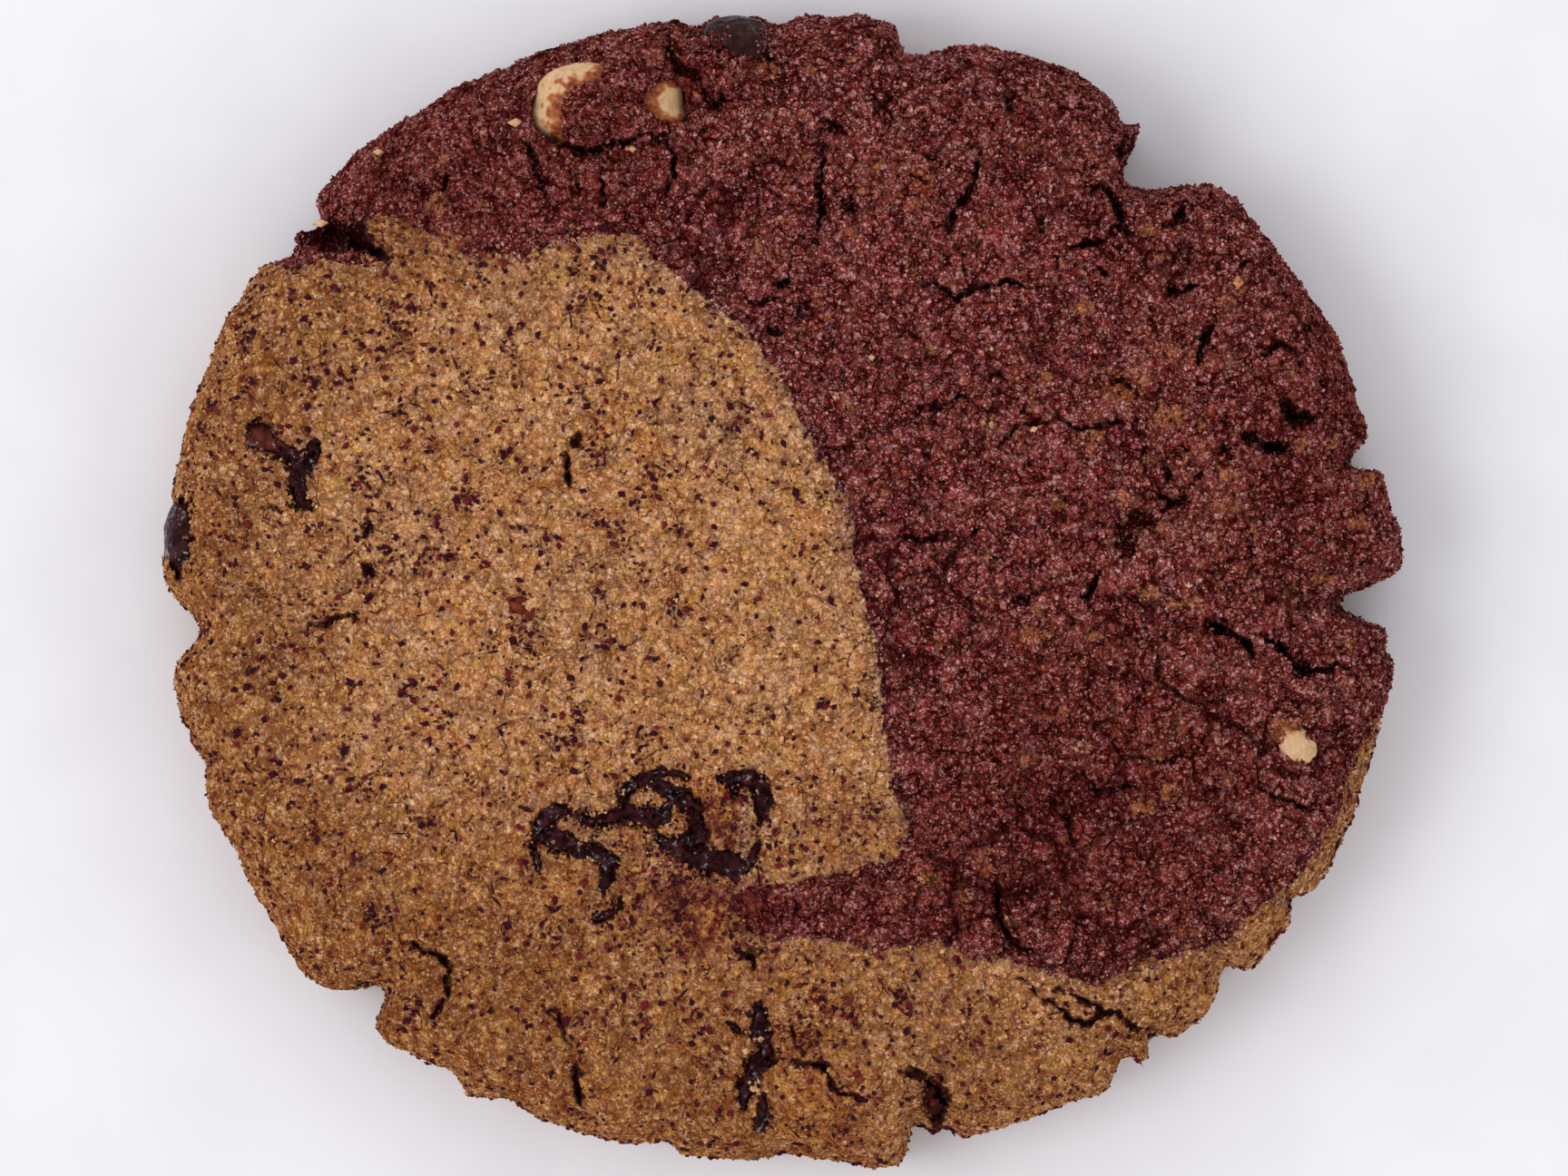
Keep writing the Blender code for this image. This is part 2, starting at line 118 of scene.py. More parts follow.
# Where the hazelnut dough ends on top, and how that seam slants under the chocolate dough
SEAM = [
    (-50.0, 24.5), (-35.4, 22.1), (-31.6, 22.3), (-28.6, 22.2), (-27.3, 22.4), (-28.8, 24.2),
    (-28.0, 25.4), (-26.2, 25.2), (-23.4, 23.8), (-21.9, 22.8), (-17.2, 23.1), (-12.8, 24.1),
    (-10.3, 24.0), (-7.9, 21.7), (-5.3, 19.8), (-2.6, 17.6), (-0.7, 15.0), (0.9, 12.0),
    (2.8, 8.8), (4.3, 5.3), (4.9, 1.2), (6.1, -3.0), (6.8, -8.6), (7.7, -13.6),
    (8.3, -17.8), (6.6, -18.9), (1.6, -19.9), (-3.0, -20.8), (-3.5, -21.9), (-2.4, -23.6),
    (1.8, -24.0), (6.4, -24.8), (10.4, -24.3), (12.8, -25.2), (15.6, -25.4), (18.6, -26.3),
    (21.8, -26.3), (24.6, -24.9), (29.6, -24.2), (31.0, -22.4), (34.6, -20.4), (37.2, -17.6),
    (38.8, -13.8), (40.4, -10.9), (50.0, -6.5),
]
SEAM_LEVEL = 8.5
SEAM_SPACING = 0.35
SEAM_RAGGED = [(0.45, 1.7), (0.45, 0.7)]  # how far the seam wanders, and over what length
SEAM_MINGLED = 0.6  # and how far loose grains of each dough stray over it
SEAM_GREY = 0.8  # how much greyer both doughs are along it
UNDERLAP = Vector((-0.25, 0.48))
UNDERLAP_FROM = 14.0
UNDERLAP_GROWS = 10.0
BLOCK_LEVELS = (-3.0, 14.0)
BLOCK_CORNERS = [(50.0, -60.0), (-60.0, -60.0), (-60.0, 24.5)]

# The fine surface
TOP_SPACING = 0.225
SIDE_SPACING = 0.28
UNDER_SPACINGS = [0.6, 1.5, 3.0, 6.0]
SHOULDER_RINGS = 34
SIDE_RINGS = 18
LUMPS = [(0.16, 1.7), (0.09, 0.75)]  # height and size of its soft lumps
RIM_LUMPS = (0.5, 1.9)  # and of the crumbly ones at the rim, which only draw it in
RIM_BAND = 3.5
SANDY = 0.06  # height of its finest grain
SUNK = 0.16  # how far it lies inside the solids, so that crumbs on it stay within them
FOOT = 1.2  # the height above the table over which all of this fades out

# Open cracks: width, depth and the (column, row) of the points along each
CRACKS = [
    (0.7, 1.2, [(728, 142), (737, 161), (742, 183), (738, 205), (734, 217), (737, 244)]),
    (0.6, 1.2, [(905, 160), (905, 183), (905, 217), (904, 251), (897, 279)]),
    (0.45, 0.9, [(894, 322), (883, 338), (876, 358)]),
    (0.55, 1.0, [(818, 332), (835, 334), (857, 327)]),
    (0.35, 0.7, [(821, 206), (827, 183), (841, 178), (858, 184)]),
    (0.7, 0.9, [(577, 158), (591, 186), (596, 217)]),
    (0.6, 1.2, [(1000, 295), (1010, 308), (1033, 318), (1064, 328), (1077, 320), (1094, 311), (1125, 312),
     (1151, 317)]),
    (0.5, 0.9, [(1163, 287), (1158, 302)]),
    (1.0, 1.5, [(1179, 274), (1200, 270), (1222, 264)]),
    (0.9, 1.5, [(1236, 252), (1228, 234), (1224, 215), (1210, 206), (1194, 213)]),
    (0.5, 1.0, [(1204, 285), (1219, 305), (1227, 313)]),
    (0.35, 0.8, [(1000, 169), (1015, 172), (1028, 180), (1046, 194)]),
    (0.5, 1.0, [(1084, 155), (1077, 170), (1071, 188), (1074, 200), (1066, 214)]),
    (0.8, 1.3, [(1066, 214), (1056, 226), (1051, 248)]),
    (0.5, 0.9, [(1056, 274), (1064, 292), (1069, 305)]),
    (0.4, 0.8, [(1143, 236), (1145, 256)]),
    (0.45, 0.8, [(1145, 120), (1166, 119), (1179, 121), (1194, 116)]),
    (0.8, 1.0, [(1115, 96), (1110, 115), (1112, 130)]),
    (0.9, 1.3, [(1284, 323), (1306, 320), (1329, 313)]),
    (0.7, 1.2, [(1314, 223), (1301, 226), (1291, 244)]),
    (0.45, 0.9, [(1378, 285), (1367, 297)]),
    (0.9, 1.3, [(1338, 344), (1335, 358), (1325, 370), (1323, 385), (1323, 406)]),
    (0.6, 1.2, [(1384, 390), (1398, 387), (1408, 380), (1422, 382), (1427, 392), (1428, 409)]),
    (0.45, 0.8, [(1447, 356), (1437, 365)]),
    (0.4, 0.8, [(1219, 416), (1228, 421), (1245, 424), (1258, 431)]),
    (0.55, 1.0, [(1097, 494), (1110, 478), (1133, 467), (1158, 461)]),
    (0.55, 1.0, [(1164, 464), (1203, 470), (1240, 467)]),
    (0.5, 0.9, [(1007, 453), (1035, 447), (1057, 439), (1068, 430)]),
    (0.4, 0.8, [(900, 492), (928, 495), (942, 503)]),
    (0.4, 0.8, [(1085, 414), (1108, 408)]),
    (0.5, 0.9, [(973, 597), (1012, 593), (1029, 593), (1043, 582)]),
    (0.45, 0.8, [(1066, 589), (1084, 581)]),
    (0.4, 0.8, [(1108, 666), (1127, 658), (1153, 651)]),
    (0.6, 1.2, [(1214, 628), (1207, 650), (1195, 666)]),
    (0.45, 1.0, [(1187, 679), (1174, 694)]),
    (1.1, 1.8, [(1336, 690), (1350, 692), (1367, 705), (1383, 724)]),
    (0.7, 1.3, [(1383, 700), (1410, 715), (1437, 736)]),
    (0.5, 1.0, [(1437, 736), (1460, 738), (1487, 736)]),
    (0.55, 1.0, [(1193, 839), (1195, 853), (1204, 870), (1223, 873), (1240, 867), (1260, 865),
     (1270, 874)]),
    (0.6, 1.1, [(1397, 868), (1409, 881), (1428, 887), (1456, 887)]),
    (0.6, 1.1, [(1100, 969), (1100, 1020), (1140, 1053)]),
    (0.6, 1.3, [(1118, 1072), (1179, 1123), (1227, 1120), (1279, 1143)]),
    (1.5, 2.0, [(999, 1175), (1038, 1204), (1023, 1258)]),
    (0.8, 1.5, [(867, 1181), (906, 1171), (922, 1197), (958, 1209)]),
    (0.9, 1.5, [(440, 1036), (496, 1070), (475, 1130)]),
    (0.8, 1.5, [(636, 1171), (636, 1226)]),
    (0.6, 0.9, [(321, 699), (350, 690), (376, 686), (401, 678)]),
    (1.8, 2.4, [(309, 249), (356, 252), (398, 268), (430, 287)]),
    (0.45, 0.8, [(1158, 880), (1176, 905), (1186, 935)]),
    (0.5, 0.9, [(639, 188), (640, 225)]),
    (0.55, 0.9, [(661, 190), (667, 224)]),
    (0.8, 1.2, [(620, 158), (632, 163), (648, 166), (672, 162), (694, 156), (712, 148)]),
    (0.7, 1.1, [(776, 112), (793, 112), (808, 109)]),
    (0.55, 0.8, [(492, 178), (488, 200), (483, 219)]),
    (0.5, 0.7, [(958, 111), (975, 117), (993, 137)]),
    (0.7, 1.1, [(640, 474), (628, 500), (622, 542)]),
    (0.4, 0.7, [(295, 567), (313, 561)]),
    (0.4, 0.7, [(862, 1124), (878, 1142), (882, 1170)]),
    (0.5, 0.9, [(1149, 1083), (1190, 1100), (1225, 1120), (1262, 1147)]),
    (0.5, 0.8, [(613, 1108), (620, 1130), (627, 1154)]),
    (0.7, 1.1, [(812, 1040), (822, 1052), (832, 1068)]),
]
CRACK_SPACING = 0.8
CRACK_RAGGED = (0.15, 0.5)  # how far a crack's edge wanders, and over what length
CRACK_SHARPNESS = 0.55
CRACK_BENDS = [(0.55, 1.9), (0.4, 0.7)]  # how far a crack's own line strays, and over what length
CRACK_SHARE = 0.30  # of its width on each side of that line, times a swelling and narrowing

# Pits: (column, row), half length and half width in pixels, turn in degrees and depth in mm
PITS = [
    (372, 262, 40, 17, 8, 1.3), (753, 72, 28, 11, -53, 0.9), (774, 104, 25, 9, -54, 0.9),
    (1066, 217, 6, 8, 0, 1.2), (1050, 247, 6, 8, 10, 1.2), (1233, 250, 10, 8, 0, 1.3),
    (1296, 236, 7, 11, -25, 1.2), (1422, 455, 11, 10, 0, 1.8), (1441, 461, 10, 7, 0, 1.5),
    (1407, 495, 12, 9, 0, 1.8), (1376, 482, 13, 11, -30, 1.2), (1355, 496, 9, 5, 0, 0.9),
    (1264, 499, 5, 5, 0, 0.8), (1285, 523, 7, 7, 0, 1.2), (1325, 523, 5, 5, 0, 0.8),
    (1292, 550, 15, 6, -15, 0.9), (1250, 575, 32, 8, 5, 0.8), (1238, 598, 12, 12, 0, 0.7),
    (1344, 691, 12, 8, -20, 1.8), (1437, 736, 8, 10, 0, 1.4), (939, 229, 6, 9, 0, 1.2),
    (911, 146, 17, 6, -5, 0.7), (966, 113, 10, 5, -15, 0.9), (863, 312, 7, 6, 0, 0.8),
    (858, 365, 10, 5, 30, 0.7), (735, 150, 12, 7, 20, 1.0), (1030, 1212, 15, 21, 0, 0.9),
    (404, 583, 6, 10, -20, 0.8), (408, 632, 7, 11, 15, 0.9), (1238, 162, 8, 12, 0, 1.0),
]

# The web of small cracks all over: size of its meshes, width and depth, and the share left whole
CRACKLE = [(4.4, 0.17, 0.42, 0.12), (2.0, 0.12, 0.28, 0.14)]
CRACKLE_WARP = (0.9, 1.8)
HAZELNUT_WHOLE = 0.6  # how much shallower it is in the hazelnut dough
POCKS = (0.8, 0.30, 0.38)  # small hollows between clumps of grains: their size, how rare, and depth
DEEPEST = 0.8  # a depth at which a crack's painted shade is full

# Melted chocolate in splits: (column, row, half width in pixels) along each streak
LEFT_MELT = [
    [(276, 474, 8), (288, 482, 16), (304, 492, 12), (318, 503, 11), (330, 511, 12), (329, 524, 9),
     (329, 540, 9), (334, 553, 9), (344, 560, 3)],
    [(335, 512, 9), (344, 503, 8), (347, 493, 7), (349, 486, 3)],
]
SWIRL_MELT = [
    [(585, 919, 3), (602, 921, 9), (616, 925, 12), (630, 930, 13), (644, 935, 11), (656, 940, 9),
     (669, 946, 9), (679, 950, 6)],
    [(586, 923, 3), (590, 940, 4), (594, 957, 3)],
    [(592, 912, 7), (602, 903, 10), (614, 894, 10), (626, 897, 5)],
    [(668, 952, 6), (668, 968, 9), (663, 978, 4)],
    [(659, 1012, 7), (672, 1007, 6), (683, 1000, 4), (684, 988, 3)],
    [(642, 902, 7), (655, 903, 10), (672, 900, 9), (684, 898, 10), (694, 891, 8)],
    [(693, 895, 8), (704, 900, 13), (717, 900, 14), (729, 897, 11), (736, 888, 5)],
    [(684, 882, 4), (692, 872, 6), (701, 862, 8), (716, 860, 9), (729, 868, 9), (743, 874, 10),
     (756, 881, 12), (767, 894, 12), (770, 908, 10), (767, 922, 10), (756, 932, 9)],
    [(712, 855, 4), (726, 852, 5), (745, 852, 5), (756, 856, 4)],
    [(724, 922, 4), (738, 931, 9), (754, 940, 14), (773, 946, 16), (790, 949, 14), (804, 952, 13),
     (820, 951, 10), (831, 940, 7), (836, 928, 4)],
    [(808, 956, 8), (812, 966, 5)],
    [(796, 857, 6), (811, 857, 10), (826, 860, 13), (838, 870, 11), (841, 884, 9), (839, 898, 8),
     (836, 910, 4)],
    [(806, 862, 6), (809, 877, 5)],
]
LOWER_MELT = [
    [(834, 1108, 4), (838, 1122, 9), (841, 1140, 12), (843, 1156, 12), (833, 1174, 13), (824, 1192, 12),
     (820, 1208, 9), (818, 1220, 5)],
    [(838, 1212, 6), (840, 1228, 8), (836, 1240, 5)],
    [(806, 1128, 3), (814, 1136, 4)],
]
# Where crumbs dull it: (column, row), radius in pixels and strength
DUSTED = [(286, 480, 22, 0.9), (812, 885, 12, 0.6), (738, 940, 10, 0.4)]
MELT_SPACING = 0.13
MELT_BASIN = 0.7  # how far the dough draws down under melted chocolate
MELT_PROUD = 0.22  # how far its back stands over the dough, and how far its edge dips under it
MELT_DIP = 0.55
MELT_THICKNESS = 2.4
MELT_RAGGED = [(0.8, 1.4), (0.4, 0.5), (0.3, 0.27)]
MELT_FOLDS = [(0.8, 1.2), (0.65, 0.55)]
MELT_NEAR = 1.5  # no streak reaches further than this past the box of its points

# Pieces set in the dough, as in the solids: middle, half sizes and turn about Z in degrees
NUT_HALF = {"at": (-12.0, 32.85, 8.3), "half": (5.45, 3.0, 2.6), "turn": 0.0}
NUT_CHIP = {"at": (35.0, -10.6, 9.2), "half": (1.7, 1.1, 1.0), "turn": -42.0}
RIM_CHIP = {"at": (-40.4, 3.0, 5.0), "half": (2.2, 3.4, 3.0), "turn": 4.0}
TOP_RIM_CHUNK = {"at": (-3.0, 37.0, 7.0), "half": (2.7, 2.2, 2.4), "turn": -18.0}
PEBBLE_WAVE = (0.12, 0.8)
# The ovals within which the last two are bare of dough, given as in NUT_BITS
RIM_CHIP_BARE = (192, 598, 62, 17, 83, 0)
TOP_RIM_CHUNK_BARE = (813, 36, 50, 22, -42, 0)

# Where the nut half is bare: within its outline, left of one oval and within another, in pixels
NUT_OUTLINE = (672, 119.5, 87, 47)
NUT_SQUARE = 2.5  # 2 for an oval, more for squarer corners
NUT_COVER = (689, 128, 72, 39)
NUT_COVER_SQUARE = 3.0
NUT_COVER_ENDS = 664  # right of this column its upper edge is covered too
NUT_PATCH = (749, 112, 38, 23)
NUT_FILM = 0.42  # thickness of the dough over the rest
NUT_BARE_DEPTH = 2.0  # how far the dough is drawn down where it is bare
NUT_SUNK = 0.7  # how much lower the nut's back lies under the dough, so that no crack lays it bare

# Nut bits under a thin film of chocolate dough: (column, row), half length and width in pixels, turn,
# and tone from 0, cream, to 1, orange-brown
NUT_BITS = [
    (1292, 460, 15, 11, 20, 0.7), (1125, 486, 12, 9, 0, 1.0), (1199, 485, 13, 9, 0, 0.75),
    (1148, 417, 11, 8, 20, 0.6), (1230, 433, 17, 12, -30, 1.0), (1332, 491, 10, 8, 0, 0.9),
    (1347, 518, 9, 10, 0, 0.6), (1352, 560, 11, 8, 10, 0.9), (1083, 610, 7, 6, 0, 0.4),
    (1312, 662, 13, 7, 0, 0.6), (1265, 658, 8, 14, -15, 0.5), (1244, 550, 10, 7, 0, 0.9),
    (1456, 640, 11, 8, 0, 0.6), (1258, 890, 12, 8, 15, 0.7), (1363, 312, 13, 9, 0, 0.55),
    (1505, 466, 9, 7, 0, 0.6), (1017, 970, 9, 7, 0, 0.6), (1064, 984, 10, 7, 0, 0.7),
    (415, 172, 11, 9, 0, 0.35), (483, 224, 6, 13, -20, 0.6), (503, 266, 14, 7, -15, 1.0),
    (1255, 420, 8, 6, 0, 0.5), (1205, 700, 8, 6, 0, 0.6), (1092, 468, 7, 11, -10, 0.45),
    (1018, 204, 16, 11, 0, 0.95), (966, 182, 7, 6, 0, 0.6), (1010, 225, 10, 7, 20, 0.9),
    (931, 260, 8, 8, 0, 0.9), (1349, 330, 10, 11, 0, 0.85), (1432, 489, 10, 7, 0, 0.8),
    (1507, 533, 8, 8, 0, 0.6), (1495, 574, 10, 7, 0, 0.85), (1192, 339, 10, 8, 0, 0.6),
    (1287, 390, 9, 7, 0, 0.9), (1466, 489, 7, 6, 0, 0.7), (1167, 786, 9, 7, 0, 0.85),
    (1128, 834, 10, 6, 0, 0.8), (1191, 825, 5, 10, 0, 0.2), (1465, 722, 8, 8, 0, 0.85),
    (1287, 873, 10, 8, 0, 0.75), (1291, 661, 9, 7, 0, 0.55), (1420, 812, 30, 17, -42, 0.8),
    (1278, 280, 8, 6, 0, 0.7), (1263, 257, 8, 6, 0, 0.8), (845, 76, 10, 8, 0, 0.9),
    (893, 78, 8, 7, 0, 0.8), (1140, 700, 20, 7, 8, 0.8), (900, 330, 9, 7, 0, 0.95),
    (952, 208, 8, 5, -20, 0.7), (870, 245, 6, 5, 0, 0.9),
]
STRAY_BITS = 260  # how many more lie between them, how far from the middle, and how strongly they show
STRAY_REACH = 39.0
STRAY_STRENGTH = 0.65
BIT_RISE = 0.12  # how far the bits of NUT_BITS raise the dough
# Bare crumbly bits on both doughs, in the same way; tones over 1 are red-brown
CRISP_BITS = [
    (1142, 703, 15, 3, 8, 0.15), (1363, 312, 7, 9, 0, 0.4), (1092, 468, 4, 7, -10, 0.45),
    (569, 136, 8, 5, 0, 0.05), (783, 330, 15, 2.5, 40, 0.15), (920, 438, 4, 4, 0, 0.2),
    (960, 394, 5, 4, 0, 0.1), (1139, 473, 6, 4, 20, 0.1), (1187, 824, 5, 4, 0, 0.2),
    (697, 165, 5, 4, 0, 0.2), (418, 168, 6, 4, 0, 0.2), (570, 667, 13, 7, -30, 1.5),
    (584, 679, 14, 6, 65, 1.45), (576, 674, 9, 8, 0, 1.5), (574, 661, 11, 4, 5, 2.0),
    (757, 672, 7, 5, 0, 1.6), (881, 1085, 7, 4, 20, 1.7), (898, 1101, 7, 4, -35, 1.7),
    (789, 1217, 4, 7, 15, 1.7), (935, 1180, 8, 5, -30, 1.5), (948, 1188, 5, 5, 0, 1.6),
    (832, 1195, 9, 6, -10, 0.1), (838, 1144, 4, 4, 0, 0.1), (822, 1157, 4, 5, 0, 0.1),
    (643, 972, 7, 6, 20, 1.5), (274, 578, 7, 5, 0, 1.6), (900, 905, 7, 5, 0, 1.6),
    (355, 247, 8, 4, 10, 0.0), (1092, 385, 3, 3, 0, 0.1), (1310, 645, 5, 3, 0, 0.3),
]

# Patches of other colours on the doughs: (column, row), radius in pixels and strength
STAINS = [
    (760, 985, 52, 0.75), (700, 975, 32, 0.5), (735, 1012, 38, 0.6), (800, 1005, 42, 0.9),
    (655, 1005, 26, 0.3), (782, 880, 26, 0.8), (792, 912, 26, 1.0), (940, 897, 24, 0.6),
    (905, 905, 14, 0.4), (868, 1150, 22, 0.45), (708, 942, 26, 0.6), (770, 1000, 60, 0.85),
    (755, 86, 26, 0.8), (690, 1005, 30, 0.5), (835, 1030, 30, 0.6), (310, 480, 20, 0.3),
    (250, 470, 14, 0.4), (842, 1045, 24, 0.5), (930, 1240, 40, 0.3),
]
ORANGE_PATCHES = [
    (779, 1016, 24, 0.8), (674, 451, 20, 0.6), (704, 479, 14, 0.5), (587, 491, 14, 0.5),
    (905, 1215, 52, 0.7), (780, 880, 36, 1.0), (700, 720, 60, 0.35), (620, 985, 22, 0.6),
    (330, 900, 90, 0.3), (1010, 205, 30, 0.6), (950, 215, 30, 0.35), (1230, 433, 26, 0.6),
    (1340, 560, 40, 0.3), (622, 116, 10, 0.9), (716, 110, 14, 0.9), (1015, 975, 26, 0.4),
    (1180, 700, 60, 0.25), (1300, 800, 70, 0.2), (730, 60, 30, 0.5), (500, 262, 16, 0.5),
]
# Darker patches, many towards the rim at the left and the bottom: partly browning, partly painted shade
BROWNED_AND_SHADED = [
    (520, 1130, 250, 0.8), (830, 1200, 190, 0.75), (330, 1000, 150, 0.65), (225, 620, 80, 0.45),
    (1060, 1180, 130, 0.5), (620, 1010, 130, 0.4), (1240, 1110, 120, 0.3), (390, 330, 90, 0.3),
    (290, 720, 120, 0.45), (280, 430, 80, 0.4), (1200, 880, 190, 0.7), (900, 1000, 90, 0.5),
    (480, 200, 120, 0.75), (250, 850, 130, 0.45), (650, 170, 120, 0.6), (1460, 480, 130, 0.6),
    (1010, 1000, 110, 0.65), (760, 60, 90, 0.4), (400, 1100, 130, 0.6),
]
GREY_PATCHES = [
    (775, 465, 48, 0.6), (455, 600, 60, 0.3), (640, 660, 70, 0.3), (560, 330, 60, 0.3),
    (640, 905, 34, 0.5), (655, 925, 26, 0.6), (815, 890, 26, 0.7), (815, 935, 12, 0.9),
    (800, 975, 22, 0.3), (1050, 1150, 60, 0.35), (300, 640, 50, 0.3), (318, 500, 16, 0.5),
    (960, 640, 30, 0.2),
]

# Where flecks of nut skin crowd together: (column, row) and radius in pixels
FLECK_CLUSTERS = [
    (507, 548, 14), (499, 611, 11), (482, 576, 12), (643, 565, 8), (660, 574, 10), (715, 542, 9),
    (783, 522, 8), (797, 532, 8), (745, 583, 8), (836, 866, 9), (402, 585, 12), (410, 634, 13),
    (430, 610, 12), (575, 660, 12), (527, 609, 8), (702, 625, 8), (648, 697, 8), (660, 655, 9),
    (735, 665, 10), (672, 708, 10), (560, 745, 10), (470, 905, 14), (520, 860, 10), (380, 820, 12),
    (300, 760, 10), (640, 790, 9), (420, 1010, 12), (560, 1020, 10), (1000, 1110, 12), (990, 1090, 10),
    (1075, 1150, 10), (940, 1120, 12), (905, 1100, 10), (700, 1090, 14), (600, 1120, 12), (345, 915, 10),
    (450, 760, 9), (480, 320, 9), (640, 330, 9), (720, 380, 9), (380, 420, 10),
]

# Crumbs, grains and flecks: how many, and their sizes from smallest to largest radius. Grains also have
# the range over which they stand proud, or sunk where it is negative, as a share of their radius.
HAZELNUT_GRAINS = (21000, 0.10, 0.27, (-0.55, 0.1))
CHOCOLATE_GRAINS = (24900, 0.11, 0.25, (-0.3, 0.3))
SKIN_FLECKS = (9800, 0.05, 0.34)
BLACK_CRUMBS = (2000, 0.07, 0.26, 1.1, 0.35)  # and how thick they lie in hollows and on the melts
PALE_CRUMBS = (450, 0.07, 0.24, 0.0, 0.04)
CHUNK_CRUMBS = (200, 0.08, 0.20)
CHIP_CRUMBS = (25, 0.07, 0.14)
BIT_GRAINS = 0.07  # area in square mm of nut bit for each of the grains that it is made of
SMALL_BIT = 9  # shorter half lengths, in pixels, make a bit a single grain


def turned_by(degrees, size=2):
    """The matrix of a turn about Z, in two or three dimensions."""
    return np.array(Matrix.Rotation(math.radians(degrees), size, "Z"))


def columns(*parts):
    return np.column_stack(np.broadcast_arrays(*parts))


def waves(points, size):
    """Smooth noise between -1 and 1 at many points, with bumps about size across."""
    return np.array([noise.noise(point) for point in (points / size).tolist()])


def smooth_steps(values, low, high):
    share = np.clip((values - low) / (high - low), 0.0, 1.0)
    return share * share * (3 - 2 * share)


def plan(column, row):
    """The place on the cookie that the picture shows at this column and row."""
    return Vector(((column - PICTURE_MIDDLE[0]) * PIXEL, (PICTURE_MIDDLE[1] - row) * PIXEL))


def rim_base(angle):
    oval = RIM_OVAL * np.cos(2 * angle) + RIM_SKEW * np.sin(2 * angle)
    return RIM_RADIUS + oval + RIM_SHIFT * np.cos(angle) + RIM_SQUARE * np.cos(4 * angle)


def rim_detail(angle):
    """What the splits and crags add to the rim at these angles."""
    total = np.zeros_like(angle)
    for centre, reach, before, after in RIM_FEATURES:
        offset = (np.degrees(angle) - centre + 180) % 360 - 180
        spread = np.where(offset < 0, before, after)
        total += reach * np.exp(-np.abs(offset / spread) ** FEATURE_STEEPNESS)
    return total


def dome(x, y):
    """Height of the uneven top over the table."""
    uneven = sum(height * waves(columns(x, y, size), size) for height, size in TOP_WAVES)
    return TOP_HEIGHT - TOP_FALL * (np.hypot(x, y) / RIM_RADIUS) ** 2 + uneven


def profile():
    """Inset from the rim, level and point spacing of each ring, from the middle of the top over the
    shoulder and the side to the underside. The level is 1 on top, 0 at the rim and -1 underneath."""
    rings = []
    inset = SHOULDER
    while inset < RIM_RADIUS - 2 * TOP_SPACING:
        inset += TOP_SPACING * math.sin(math.pi / 3)
        rings.insert(0, (inset, 1.0, TOP_SPACING))
    for i in range(SHOULDER_RINGS + 1):
        turn = math.pi / 2 * i / SHOULDER_RINGS
        rings.append((SHOULDER * (1 - math.sin(turn) ** 0.9), math.cos(turn) ** 0.8, TOP_SPACING))
    for i in range(1, SIDE_RINGS + 1):
        turn = math.pi / 2 * i / SIDE_RINGS
        rings.append((UNDERCUT * (1 - math.cos(turn) ** 0.7), -math.sin(turn), SIDE_SPACING))
    inset = UNDERCUT
    for spacing in UNDER_SPACINGS:
        inset += spacing
        rings.append((inset, -1.0, spacing))
    while inset < RIM_RADIUS - 2 * spacing:
        inset += spacing
        rings.append((inset, -1.0, spacing))
    return rings


def surface_points(angle, inset, level):
    """The surface points at these angles on these rings of the profile."""
    detail = rim_detail(angle) * np.maximum(0.0, 1 - inset / FEATURE_FADE)
    reach = rim_base(angle) * (1 - inset / RIM_RADIUS) + detail
    depth, size = SIDE_WAVE
    on_side = 1 - np.abs(np.abs(level) - 0.5) * 2
    at = columns(reach * np.cos(angle), reach * np.sin(angle), level * RIM_HEIGHT)
    reach = reach + depth * (waves(at, size) - SIDE_INWARD) * on_side * np.minimum(1.0, inset)
    x, y = reach * np.cos(angle), reach * np.sin(angle)
    rise = np.where(level > 0, (dome(x, y) - RIM_HEIGHT) * level, RIM_HEIGHT * level)
    return columns(x, y, RIM_HEIGHT + rise)


def stitched(outer, inner):
    """Triangles between two rings of points, each given by its first number and its count."""
    found = []
    i = j = 0
    while i < outer[1] or j < inner[1]:
        here, there = outer[0] + i % outer[1], inner[0] + j % inner[1]
        if j == inner[1] or (i < outer[1] and (i + 1) * inner[1] <= (j + 1) * outer[1]):
            i += 1
            found.append((here, there, outer[0] + i % outer[1]))
        else:
            j += 1
            found.append((here, there, inner[0] + j % inner[1]))
    return found


def whole_surface():
    """Points, triangles and each point's inset from the rim, of the whole cookie's fine surface."""
    angles, insets, levels, rings = [], [], [], []
    first = 0
    for inset, level, spacing in profile():
        count = max(6, round(2 * math.pi * (RIM_RADIUS - inset) / spacing))
        rings.append((first, count))
        first += count
        angles.append(2 * math.pi * np.arange(count) / count)
        insets.append(np.full(count, inset))
        levels.append(np.full(count, level))
    inset = np.concatenate(insets)
    points = surface_points(np.concatenate(angles), inset, np.concatenate(levels))
    ends = columns(0.0, 0.0, np.array((dome(np.zeros(1), np.zeros(1))[0], 0.0)))
    triangles = []
    for (first, count), tip in ((rings[0], len(points)), (rings[-1], len(points) + 1)):
        sides = [(first + i, first + (i + 1) % count, tip) for i in range(count)]
        triangles += sides if tip == len(points) else [side[::-1] for side in sides]
    for outer, inner in zip(rings, rings[1:]):
        triangles += stitched(outer, inner)
    return np.vstack((points, ends)), np.array(triangles), np.append(inset, (RIM_RADIUS, RIM_RADIUS))


def face_normals(points, triangles):
    """Each triangle's normal, with a length of twice its area."""
    corners = points[triangles]
    return np.cross(corners[:, 1] - corners[:, 0], corners[:, 2] - corners[:, 0])


